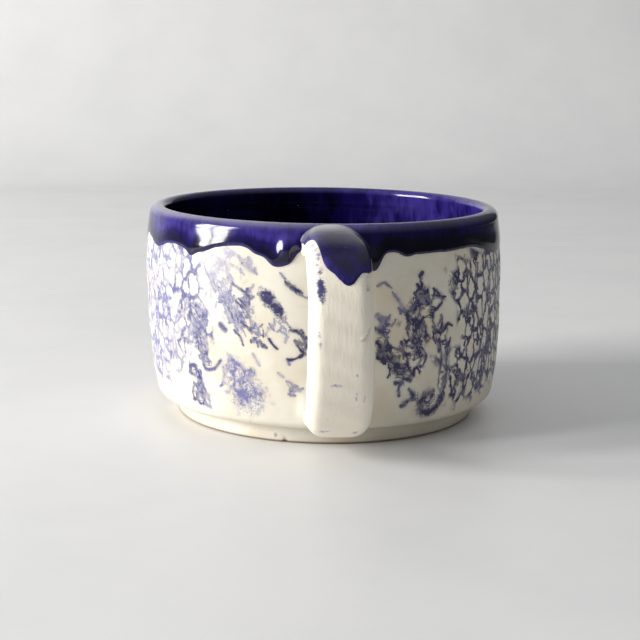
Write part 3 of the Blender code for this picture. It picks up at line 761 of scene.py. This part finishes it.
def make_fillet(name, node, corner, hollow, half_width, middle):
    """A pressed coil of clay, thick in the middle and thinning to nothing at its two ends."""
    outline = np.concatenate([corner, arc(*hollow, 18)])
    outline = resample(np.concatenate([outline, outline[:1]]), 61)[:-1]
    tip = np.array(corner[len(corner) // 2], float)
    across = np.sin(np.linspace(-math.pi / 2, math.pi / 2, 60))
    size = np.sqrt(np.clip(1 - abs(across) ** 3, 0.0004, 1))[:, None, None]
    lump = 1 + 0.05 * np.sin(across * 9 + 1)[:, None, None] + 0.03 * np.sin(across * 23)[:, None, None]
    ring = tip + (outline[None] - tip) * size * lump
    sides = np.broadcast_to((across * half_width + middle)[:, None], ring.shape[:2])
    points = np.stack([sides, AXIS_Y - ring[..., 0], ring[..., 1]], axis=-1)
    rows, columns = ring.shape[:2]
    faces = grid_quads(rows, columns).tolist()
    faces += [list(range(columns)), list(range((rows - 1) * columns, rows * columns))]
    return make_piece(name, points, faces, node)


# ---- the glaze ----

def rim_edge_line():
    """The rim glaze's edge as (mm round the wall, height), softened as a flowing liquid would be."""
    fine = np.arange(0, 360, 0.25) - 180
    line = smooth_line([*RIM_EDGE, (RIM_EDGE[0][0] + 360, RIM_EDGE[0][1])], 8)
    edge = np.interp(fine, line[:, 0], line[:, 1], period=360)
    weights = hill(np.arange(-12, 13), 0, 3)
    padded = np.concatenate([edge[-12:], edge, edge[:12]])
    edge = np.convolve(padded, weights / weights.sum(), mode="valid")
    edge = edge + wander(fine, 40, 0.10, 5) + wander(fine, 9, 0.05, 3)
    return np.stack([fine * MM_PER_DEGREE, edge], axis=1)


def distance_to_line(across, height, line):
    """From each point of a grid to the nearest point of a line."""
    nearest = np.full(across.shape, 99.0)
    for row in range(across.shape[0]):
        gaps = np.hypot(across[row][:, None] - line[None, :, 0], height[row][:, None] - line[None, :, 1])
        nearest[row] = gaps.min(axis=1)
    return nearest


def bead(distance):
    """How much of its thickness a skin has this far from its edge: a low shoulder, then a slow rise."""
    shoulder = np.sqrt(1 - (1 - np.clip(distance / BEAD, 0, 1)) ** 2)
    return 0.80 * shoulder + 0.20 * ease(distance, 0.2, 3.0)


def pooled(distance):
    """How deep the colour is: thin at the very edge, deepest just behind it, then thinning upwards."""
    return (0.40 + 0.60 * ease(distance, 0.2, 1.5)) * (1 - 0.60 * ease(distance, 1.6, 6.0))


def liner_depth_and_painted_light(degrees, reach=1.0):
    """Painted light and shade inside: the glaze's colour is palest on the side right of the handle, where
    the window's light falls, and deep on the shaded side opposite.
    """
    return LINER_POOL + 0.75 * ease(reach * np.cos(np.radians(degrees - PAINTED_LIT_SIDE)), 0.85, 0.1)


FALL_ROWS = 41              # rows of the rim glaze from the lip down to its edge


def mound(degrees, height, centre, level, half_width, half_height):
    """1 in the middle of a patch of the wall, falling off to its half-width and half-height in mm."""
    return hill(degrees, centre, half_width / MM_PER_DEGREE) * hill(height, level, half_height)


def rim_colour(degrees, height, distance, out_radius):
    """How deep the rim glaze's colour is, with painted shade deepening it on the shaded right and painted
    light paling it on the lit left, and how much pale painted sheen lies on the lip's crest.
    """
    rightward = np.sin(np.radians(degrees))
    # painted shade and light: the colour deepens towards the right, which lies in shade, and pales towards
    # the lit left
    pool = pooled(distance) + 0.2 * ease(rightward, -0.2, 0.28) - 0.2 * ease(-rightward, 0, 0.64)
    for *patch, thinning in SHALLOWS:
        pool = pool - thinning * mound(degrees, height, *patch)
    pool = np.where(out_radius < -0.5, liner_depth_and_painted_light(degrees), pool)
    # paler at the crest, where the glaze thins; on the shaded right less so, as painted shade
    pool = pool * (1 - (0.7 - 0.35 * ease(rightward, 0, 0.64)) * hill(height, LIP_TOP, 1.2))
    # painted sheen: a pale band on the crest of the lip, on the lit left only, standing for the reflection
    # there
    haze = 0.4 * hill(height, LIP_TOP, 0.8) * (out_radius > -0.3) * ease(-rightward, -0.4, 0.5)
    return both_shells(pool=pool, haze=haze)


def make_rim_glaze():
    """From under the lip's inner side, over the lip and down each column to the dripping edge."""
    start = part_of(inside_line(0, 400), SKINS_MEET - 0.01, LIP_TOP)
    start = np.concatenate([start[[0, 0, 1]], resample(start[20:], 7)])
    lip = np.concatenate([start, inner_lip(0, 8)[1:], outer_lip(0, 10)[1:]])
    edge_line = rim_edge_line()
    edges = np.interp(DEGREES * MM_PER_DEGREE, edge_line[:, 0], edge_line[:, 1])
    parts = 1 - (1 - np.linspace(0, 1, FALL_ROWS + 1)[1:]) ** 1.5
    fall = lip[-1, 1] + (edges - lip[-1, 1]) * parts[:, None]

    def on_grid(lip_values, fall_values):
        """A row for each point of the lip, then the rows that fall down the wall."""
        return np.concatenate([np.broadcast_to(lip_values[:, None], (len(lip), COLUMNS)), fall_values])

    height, radius = on_grid(lip[:, 1], fall), on_grid(lip[:, 0], wall_radius(fall))
    degrees = np.broadcast_to(DEGREES, height.shape)
    out_radius, out_height = lip_facing(lip)
    out_radius = on_grid(out_radius, np.ones_like(fall))
    out_height = on_grid(out_height, np.zeros_like(fall))
    distance = distance_to_line(degrees * MM_PER_DEGREE, height, edge_line)
    distance[: len(lip) - 3] = FAR
    thick = GLAZE * bead(distance)
    thick[0] = -SUNK
    for *patch, rise in SWELLS:
        swell = rise * mound(degrees, height, *patch) * (out_radius > 0.5)
        thick = thick + swell * ease(distance, 0.0, 1.2)
    relief = np.where(out_radius > 0.99, wall_relief(degrees, height), 0)
    shells = [stand(radius + relief + grow * out_radius, degrees, height + grow * out_height)
              for grow in (thick, -SUNK)]
    quads = shell_quads(len(height), COLUMNS, wrapped=True)
    fields = rim_colour(degrees, height, distance, out_radius)
    return make_piece("rim_drips", np.stack(shells), quads, "rim_glaze", fields)


def lip_facing(line):
    along = np.gradient(line, axis=0)
    along[0] = along[2]
    along = unit(along)
    return -along[:, 1], along[:, 0]


def make_liner_glaze():
    """The pool on the floor and the skin up the inside, one closed body of revolution."""
    across = np.linspace(0, WALL_INSIDE - COVE_ROUND, 40)[:-1]
    floor = np.stack([across, np.full_like(across, FLOOR_TOP + GLAZE)], axis=1)
    up = [resample(part_of(inside_line(grow, 400), 0, SKINS_MEET), 60) for grow in (GLAZE, -SUNK)]
    skin = np.concatenate([floor, up[0][:-1], up[0][-1:] - (0, 0.01), up[0][-1:]])
    back = np.concatenate([floor - (0, GLAZE + SUNK), up[1]])[::-1]
    outline = np.concatenate([skin, back])
    columns = 480
    degrees = np.arange(columns) * 360 / columns - 180
    rings = 0.05 * np.sin(outline[:, 1:] * 1.15 + 0.4 * np.sin(np.radians(degrees)))
    rings = rings * (outline[:, :1] > WALL_INSIDE - 4) * (np.arange(len(outline)) < len(skin))[:, None]
    points = stand(outline[:, :1] - rings, degrees, outline[:, 1:])
    # painted light and shade round the inside, and deeper colour on the floor where the glaze pools
    pool = liner_depth_and_painted_light(degrees, outline[:, :1] / WALL_INSIDE) + 0.4 * ease(outline[:, 1:], 22, 10)
    return make_piece("liner", points, grid_quads(len(outline), columns), "liner_glaze",
                      {"pool": pool})


CAP_START = 51.9            # reach at which the cap begins, inside the lip


def make_handle_glaze():
    """The cap that runs from the lip down over the strap's top and sides."""
    columns, rows = 170, 64
    fine, fine_facing = strap_section(1200)
    perimeter = lengths_along(np.concatenate([fine, fine[:1]]))
    around = perimeter[:-1] - perimeter[-1] / 2
    places = np.linspace(CAP_EDGE[0][0], CAP_EDGE[-1][0], columns)
    spots, facing = [np.stack([np.interp(places, around, values[:, k]) for k in (0, 1)], axis=1)
                     for values in (fine, fine_facing)]
    dense = np.linspace(places[0], places[-1], 900)
    edge = np.interp(dense, *zip(*CAP_EDGE)) + wander(dense, 11.0, 0.10, 6) + wander(dense, 3.1, 0.05, 3)
    softening = np.hanning(51)[1:-1]
    edge = np.convolve(np.pad(edge, 24, "edge"), softening / softening.sum(), "valid")
    first = np.interp(CAP_START, stations[:60, 0], station_order[:60])
    last = np.maximum(np.interp(-edge, -stations[:, 1], station_order), first + 3)
    ends = np.interp(places, dense, last)
    parts = 1 - (1 - np.linspace(0, 1, rows)) ** 1.4
    at = first + (ends - first) * parts[:, None]
    line = np.stack([dense, last * station_step], axis=1)
    along = at * station_step
    distance = distance_to_line(np.broadcast_to(places, at.shape), along, line)
    distance = np.minimum(distance, np.minimum(places - places[0], places[-1] - places))
    shells = [strap_points(at, spots, facing, grow) for grow in (GLAZE * bead(distance), -SUNK)]
    pool = (0.26 + 0.40 * ease(distance, 0.1, 3.4)) * (1 - 0.35 * hill(along, 0, 9.0))
    # painted sheen: a pale band over the cap's crown, standing for the reflection there
    haze = hill(along, 4.0, 3.8) * hill(places, -0.5, 7.5)
    return make_piece("handle_cap", np.stack(shells), shell_quads(rows, columns, wrapped=False),
                      "handle_glaze", both_shells(pool=pool, haze=haze))


# ---- materials ----

class Finish:
    """A material and short calls that add its nodes. A value may be a number, a colour or a socket."""

    def __init__(self, name):
        self.material = bpy.data.materials.new(name)
        self.material.use_nodes = True
        self.tree = self.material.node_tree
        self.shader = self.tree.nodes["Principled BSDF"]
        place = self.tree.nodes.new("ShaderNodeTexCoord").outputs["Object"]
        self.place = self.node("ShaderNodeVectorMath", {0: place, "Scale": 1 / MM}, operation="SCALE")

    def node(self, kind, values, output=0, **settings):
        node = self.tree.nodes.new(kind)
        for name, value in settings.items():
            setattr(node, name, value)
        for socket, value in values.items():
            self.give(node.inputs[socket], value)
        return node.outputs[output]

    def give(self, socket, value):
        if isinstance(value, bpy.types.NodeSocket):
            self.tree.links.new(value, socket)
        elif isinstance(value, tuple) and socket.type == "RGBA":
            socket.default_value = (*value, 1.0)
        else:
            socket.default_value = value

    def set(self, **values):
        for name, value in values.items():
            self.give(self.shader.inputs[name.replace("_", " ")], value)

    def math(self, operation, a, b=0.0, c=0.0):
        return self.node("ShaderNodeMath", {0: a, 1: b, 2: c}, operation=operation)

    def times(self, a, b):
        return self.math("MULTIPLY", a, b)

    def scaled(self, value, factor, more):
        """value * factor + more"""
        return self.math("MULTIPLY_ADD", value, factor, more)

    def vector(self, operation, a, b):
        return self.node("ShaderNodeVectorMath", {0: a, 1: b}, operation=operation)

    def cell_walls(self, where, size, squash, randomness):
        """Distance to the nearest wall of cells about size mm across, and 1 / squash times as tall."""
        values = {"Vector": self.vector("MULTIPLY", where, (1, 1, squash)), "Scale": 1 / size,
                  "Randomness": randomness}
        return self.node("ShaderNodeTexVoronoi", values, feature="DISTANCE_TO_EDGE")

    def field(self, name):
        node = self.tree.nodes.new("ShaderNodeAttribute")
        node.attribute_name = name
        return node.outputs["Fac"]

    def stretched(self, x=1.0, y=1.0, z=1.0):
        return self.vector("MULTIPLY", self.place, (x, y, z))

    def noise(self, size, detail=2.0, roughness=0.5, where=None, output=0):
        """Noise whose features are about this many millimetres across."""
        values = {"Vector": where or self.place, "Scale": 1 / size, "Detail": detail, "Roughness": roughness}
        return self.node("ShaderNodeTexNoise", values, output=output)

    def step(self, value, low, high):
        """From 0 at low to 1 at high, smoothly."""
        return self.node("ShaderNodeMapRange", {0: value, 1: low, 2: high}, interpolation_type="SMOOTHSTEP")

    def mix(self, factor, a, b):
        values = {"Factor": factor, 6: a, 7: b}
        return self.node("ShaderNodeMix", values, output=2, data_type="RGBA", clamp_factor=True)

    def specks(self, size, least, most=1.0):
        """Scattered dots: 1 inside the few Voronoi cells whose random value is over least."""
        cells = self.tree.nodes.new("ShaderNodeTexVoronoi")
        self.give(cells.inputs["Vector"], self.place)
        cells.inputs["Scale"].default_value = 1 / size
        dot = self.step(cells.outputs["Distance"], 0.28, 0.12)
        chosen = self.math("GREATER_THAN", cells.outputs["Color"], least)
        return self.times(self.times(dot, chosen), most)

    def bump(self, height, strength, reach):
        """reach is the height in millimetres that a value of 1 stands for."""
        values = {"Height": height, "Strength": strength, "Distance": reach * MM}
        self.set(Normal=self.node("ShaderNodeBump", values))


CREAM_PALE = (0.785, 0.75, 0.655)
CREAM_WARM = (0.725, 0.655, 0.52)
# a paler cream for the strap: painted light, brightening its face beyond the wall's cream
STRAP_LIT_CREAM = (0.95, 0.885, 0.755)
CREAM_GREY = (0.66, 0.61, 0.52)
INK_PALE = (0.20, 0.205, 0.43)
INK_DEEP = (0.018, 0.015, 0.080)
NET_CELL = 3.1              # mm across
RING_CELL = 3.7
BROWN = (0.20, 0.11, 0.05)
# white for the clay smear by the lower joint: a painted highlight on that lump
SMEAR_HIGHLIGHT_WHITE = (0.88, 0.87, 0.83)


def cream(finish):
    """Cream clay under clear glaze: warm and grey clouds, and a few iron specks."""
    clouds = finish.step(finish.noise(17, 3, 0.6), 0.38, 0.66)
    colour = finish.mix(clouds, CREAM_PALE, CREAM_WARM)
    streaks = finish.step(finish.noise(5, 3, 0.6, finish.stretched(1, 1, 3.5)), 0.50, 0.80)
    colour = finish.mix(finish.times(streaks, 0.35), colour, CREAM_GREY)
    return finish.mix(finish.specks(3.1, 0.93, 0.55), colour, BROWN)


def stroke_layer(finish, grit, ragged, worn):
    """The drawn lines, ragged at their sides and worn through where the brush was dry, and their halo."""
    away = finish.field("ink_away")
    side = finish.math("ABSOLUTE", finish.field("ink_side"))
    side = finish.scaled(ragged, 2.2, finish.scaled(grit, 0.9, side))
    stroke = finish.times(finish.step(side, 2.3, 0.3), finish.step(away, 3.0, 1.7))
    stroke = finish.times(stroke, finish.scaled(worn, 0.25, 0.80))
    load = finish.step(finish.field("ink_depth"), 0.1, 0.60)
    stroke = finish.times(stroke, finish.scaled(load, 0.50, 0.50))
    return stroke, finish.times(finish.step(away, 4.5, 0.5), 0.16)


def cell_layers(finish, ragged, worn):
    """The fine net and the rounder cells, both on the same bent ground."""
    bend = finish.vector("SUBTRACT", finish.noise(4.0, 3, 0.6, output=1), (0.5,) * 3)
    bent = finish.vector("ADD", finish.place, finish.vector("MULTIPLY", bend, (4.2,) * 3))
    edges = finish.scaled(ragged, 0.30, finish.cell_walls(bent, NET_CELL, 0.50, 0.75))
    lines = finish.times(finish.step(edges, 0.20, 0.05), finish.scaled(worn, 0.25, 0.85))
    loops = finish.scaled(ragged, 0.26, finish.cell_walls(bent, RING_CELL, 0.76, 0.85))
    loops = finish.times(finish.step(loops, 0.23, 0.02), finish.scaled(worn, 0.50, 0.60))
    clumps = finish.step(finish.noise(9, 2, 0.5), 0.36, 0.60)
    loops = finish.times(loops, finish.scaled(clumps, 0.40, 0.75))
    return finish.times(lines, finish.field("net")), finish.times(loops, finish.field("rings"))


def smudge_layer(finish, grit, ragged):
    """Soft clouds of pigment, broken up by the rough ground."""
    smudge = finish.field("smudge")
    cloud = finish.scaled(grit, 0.7, finish.math("ADD", smudge, finish.times(ragged, 1.3)))
    return finish.times(finish.step(cloud, 0.25, 0.85), finish.step(smudge, 0.1, 0.4))


def inked(finish, colour):
    """Lays the drawn strokes, nets, rings and smudges over a colour, as dry pigment on a rough ground."""
    grit = finish.math("SUBTRACT", finish.noise(0.55, 2, 0.6), 0.5)
    ragged = finish.math("SUBTRACT", finish.noise(1.3, 3, 0.65), 0.5)
    worn = finish.step(finish.noise(2.8, 3, 0.65), 0.40, 0.56)
    stroke, amount = stroke_layer(finish, grit, ragged, worn)
    net, rings = cell_layers(finish, ragged, worn)
    for layer in (stroke, net, rings, smudge_layer(finish, grit, ragged)):
        amount = finish.math("MAXIMUM", amount, layer)
    depth = finish.scaled(ragged, 0.6, finish.field("ink_depth"))
    shade = finish.mix(finish.step(depth, -0.1, 1.05), INK_PALE, INK_DEEP)
    return finish.mix(amount, colour, shade)


def glossy(finish, roughness=0.42):
    rough = finish.scaled(finish.noise(8, 3, 0.6), 0.16, roughness - 0.08)
    finish.set(Roughness=rough, Specular_IOR_Level=0.45, Coat_Weight=0.12, Coat_Roughness=0.25, Coat_IOR=1.5)


def wall_finish():
    finish = Finish("brushed_cream_glaze")
    colour = cream(finish)
    # painted highlight: the smear by the lower joint is painted nearly white
    colour = finish.mix(finish.times(finish.field("smear"), 0.9), colour, SMEAR_HIGHLIGHT_WHITE)
    finish.set(Base_Color=inked(finish, colour))
    glossy(finish)
    fine = finish.noise(1.6, 3, 0.6, finish.stretched(1, 1, 2.2))
    finish.bump(finish.math("ADD", finish.noise(6, 2, 0.5), fine), 0.5, 0.12)
    return finish.material


def strap_finish():
    finish = Finish("pulled_cream_clay")
    # painted light: the strap's cream is mostly the paler copy, to brighten its face
    colour = finish.mix(0.8, cream(finish), STRAP_LIT_CREAM)
    pulled = finish.noise(0.9, 3, 0.6, finish.stretched(1, 1, 0.09))
    colour = finish.mix(finish.times(finish.step(pulled, 0.5, 0.75), 0.22), colour, CREAM_GREY)
    colour = finish.mix(finish.times(finish.field("gouge"), 0.8), colour, BROWN)
    finish.set(Base_Color=inked(finish, colour))
    glossy(finish, 0.44)
    finish.bump(finish.math("ADD", pulled, finish.noise(4, 2, 0.5)), 0.6, 0.14)
    return finish.material


def plain_finish(name):
    finish = Finish(name)
    finish.set(Base_Color=cream(finish))
    glossy(finish, 0.48)
    finish.bump(finish.noise(2.0, 3, 0.6), 0.5, 0.2)
    return finish.material


def foot_finish():
    finish = Finish("foot_cream_clay")
    colour = finish.mix(finish.times(finish.field("brown_foot_edge"), 0.85), cream(finish), BROWN)
    finish.set(Base_Color=colour)
    glossy(finish, 0.5)
    finish.bump(finish.noise(1.3, 4, 0.65), 0.5, 0.12)
    return finish.material


GLAZE_THIN = (0.042, 0.028, 0.215)
GLAZE_COBALT = (0.008, 0.004, 0.072)
GLAZE_DEEP = (0.002, 0.0015, 0.010)
# pale grey painted sheen, standing for the reflection on the lip's crest and the handle's crown
GLAZE_PAINTED_SHEEN = (0.46, 0.455, 0.49)
GLAZE_DUST = (0.5, 0.5, 0.62)


def glaze_finish(name, roughness, shine=0.5):
    """Cobalt glaze: violet where thin, nearly black where it pools, with runs, clouds, pin specks and a pale
    painted sheen.
    """
    finish = Finish(name)
    runs = finish.noise(2.2, 3, 0.6, finish.stretched(1, 1, 0.22))
    clouds = finish.noise(9, 2, 0.5)
    depth = finish.scaled(finish.math("SUBTRACT", runs, 0.5), 0.9, finish.field("pool"))
    depth = finish.scaled(finish.math("SUBTRACT", clouds, 0.5), 0.7, depth)
    colour = finish.mix(finish.step(depth, -0.10, 0.42), GLAZE_THIN, GLAZE_COBALT)
    colour = finish.mix(finish.step(depth, 0.38, 0.95), colour, GLAZE_DEEP)
    dust = finish.times(finish.specks(0.9, 0.92, 0.35), finish.step(finish.noise(7, 2, 0.5), 0.5, 0.62))
    colour = finish.mix(dust, colour, GLAZE_DUST)
    # painted sheen: pale grey mixed in over the lip's crest and the handle's crown
    finish.set(Base_Color=finish.mix(finish.times(finish.field("haze"), 0.9), colour, GLAZE_PAINTED_SHEEN))
    rough = finish.scaled(finish.noise(3, 2, 0.5), 0.06, roughness)
    finish.set(Roughness=rough, Specular_IOR_Level=shine)
    finish.bump(finish.math("ADD", finish.noise(5, 2, 0.5), finish.specks(0.8, 0.92, 0.35)), 0.35, 0.10)
    return finish.material


# ---- the studio ----

FLOOR_BACK = 700.0          # from the cup's axis to where the sweep starts to rise
SWEEP_ROUND = 160.0
SWEEP_TOP = 3600.0
SWEEP_RIGHT = 430.0         # the upright part ends here, so the rim's right reflects a dark room
FLOOR_FRONT = 2200.0
FLOOR_HALF_WIDTH = 2600.0
FLOOR_PALE = (0.765, 0.765, 0.765)
FLOOR_GREY = (0.735, 0.735, 0.74)


def make_sweep():
    line = [(-FLOOR_FRONT, 0.0), (0.0, 0.0), (FLOOR_BACK, 0.0)]
    line += [tuple(point) for point in arc((FLOOR_BACK, SWEEP_ROUND), SWEEP_ROUND, -90, 0, 24)[1:]]
    line.append((FLOOR_BACK + SWEEP_ROUND, SWEEP_TOP))
    points = []
    for y, z in line:
        right = FLOOR_HALF_WIDTH if z == 0 else SWEEP_RIGHT
        points += [(side * MM, (AXIS_Y + y) * MM, z * MM) for side in (-FLOOR_HALF_WIDTH, right)]
    faces = [(2 * i, 2 * i + 1, 2 * i + 3, 2 * i + 2) for i in range(len(line) - 1)]
    mesh = bpy.data.meshes.new("sweep")
    mesh.from_pydata(points, [], faces)
    mesh.shade_smooth()
    sweep = bpy.data.objects.new("sweep", mesh)
    bpy.context.scene.collection.objects.link(sweep)
    finish = Finish("studio_floor")
    clouds = finish.step(finish.noise(60, 3, 0.6), 0.35, 0.7)
    finish.set(Base_Color=finish.mix(clouds, FLOOR_PALE, FLOOR_GREY), Roughness=0.42, Specular_IOR_Level=0.3)
    mesh.materials.append(finish.material)


WINDOW_FROM = (-0.975, -0.22)
WINDOW_DISTANCE = 1200.0
PANE_WIDTH = 280.0
PANE_SILL = 140.0
PANE_HEIGHT = 640.0
PANE_GAP = 36.0
PANE_WATTS = 12.8
PANE_COLOUR = (1.0, 0.985, 0.96)


def make_window():
    """Two tall soft panes at the left, with a bar between them."""
    towards = Vector((*WINDOW_FROM, 0)).normalized()
    sideways = Vector((towards.y, -towards.x, 0))
    for side in (-1, 1):
        light = bpy.data.lights.new(f"pane_{side + 1}", "AREA")
        light.shape = "RECTANGLE"
        light.size, light.size_y = PANE_WIDTH * MM, PANE_HEIGHT * MM
        light.energy = PANE_WATTS
        light.color = PANE_COLOUR
        pane = bpy.data.objects.new(light.name, light)
        bpy.context.scene.collection.objects.link(pane)
        middle = Vector((0, AXIS_Y, PANE_SILL + PANE_HEIGHT / 2)) + towards * WINDOW_DISTANCE
        pane.location = (middle + sideways * side * (PANE_WIDTH + PANE_GAP) / 2) * MM
        pane.rotation_euler = (-towards).to_track_quat("-Z", "Y").to_euler()
        pane.visible_camera = False


SKY_BASE = 0.045
SKY_TOP = 0.62
SKY_WINDOW = 0.16
SKY_COLOUR = (0.97, 0.985, 1.0, 1.0)


def make_sky():
    """Dim light from all round, brighter from above and from the window's side."""
    world = bpy.data.worlds.new("studio")
    bpy.context.scene.world = world
    world.use_nodes = True
    tree = world.node_tree
    place = tree.nodes.new("ShaderNodeTexCoord").outputs["Generated"]
    level = SKY_BASE
    for towards, power, strength in (((0, 0, 1), 1.3, SKY_TOP), ((*WINDOW_FROM, 0.1), 3.0, SKY_WINDOW)):
        along = tree.nodes.new("ShaderNodeVectorMath")
        along.operation = "DOT_PRODUCT"
        tree.links.new(place, along.inputs[0])
        along.inputs[1].default_value = Vector(towards).normalized()
        parts = [along.outputs["Value"]]
        for operation, value in (("MAXIMUM", 0.0), ("POWER", power), ("MULTIPLY", strength), ("ADD", level)):
            step = tree.nodes.new("ShaderNodeMath")
            step.operation = operation
            tree.links.new(parts[-1], step.inputs[0])
            if isinstance(value, float):
                step.inputs[1].default_value = value
            else:
                tree.links.new(value, step.inputs[1])
            parts.append(step.outputs[0])
        level = parts[-1]
    background = tree.nodes["Background"].inputs
    background["Color"].default_value = SKY_COLOUR
    tree.links.new(level, background["Strength"])


CAMERA_DISTANCE = 452.3     # level, from the cup's axis
CAMERA_HEIGHT = 115.4
CAMERA_AZIMUTH = -3.2
CAMERA_PITCH = 10.945
CAMERA_YAW = -0.102
CAMERA_ROLL = 0.723
CAMERA_LENS = 80.7


def make_camera():
    data = bpy.data.cameras.new("camera")
    data.lens = CAMERA_LENS
    data.sensor_width = 36
    camera = bpy.data.objects.new("camera", data)
    bpy.context.scene.collection.objects.link(camera)
    pitch, roll = math.radians(CAMERA_PITCH), math.radians(CAMERA_ROLL)
    turn = math.radians(CAMERA_AZIMUTH - CAMERA_YAW)
    look = Vector((-math.sin(turn) * math.cos(pitch), math.cos(turn) * math.cos(pitch), -math.sin(pitch)))
    level = Vector((math.cos(turn), math.sin(turn), 0))
    up = level.cross(look)
    right = math.cos(roll) * level + math.sin(roll) * up
    up = right.cross(look)
    around = math.radians(CAMERA_AZIMUTH)
    place = Vector((math.sin(around) * CAMERA_DISTANCE, AXIS_Y - math.cos(around) * CAMERA_DISTANCE,
                    CAMERA_HEIGHT)) * MM
    turned = Matrix((right, up, -look)).transposed().to_4x4()
    camera.matrix_world = Matrix.Translation(place) @ turned
    bpy.context.scene.camera = camera


# ---- everything ----

coil_material = plain_finish("pressed_cream_clay")
for piece, material in (
    (make_wall(), wall_finish()),
    (make_floor(), plain_finish("turned_cream_clay")),
    (make_foot(), foot_finish()),
    (make_strap(), strap_finish()),
    *[(make_fillet(*coil), coil_material) for coil in COILS],
    (make_liner_glaze(), glaze_finish("cobalt_liner", 0.06)),
    (make_rim_glaze(), glaze_finish("cobalt_drips", 0.08)),
    (make_handle_glaze(), glaze_finish("cobalt_cap", 0.22, 0.32)),
):
    piece.data.materials.append(material)

make_sweep()
make_window()
make_sky()
make_camera()
bpy.context.scene.view_settings.view_transform = "Standard"
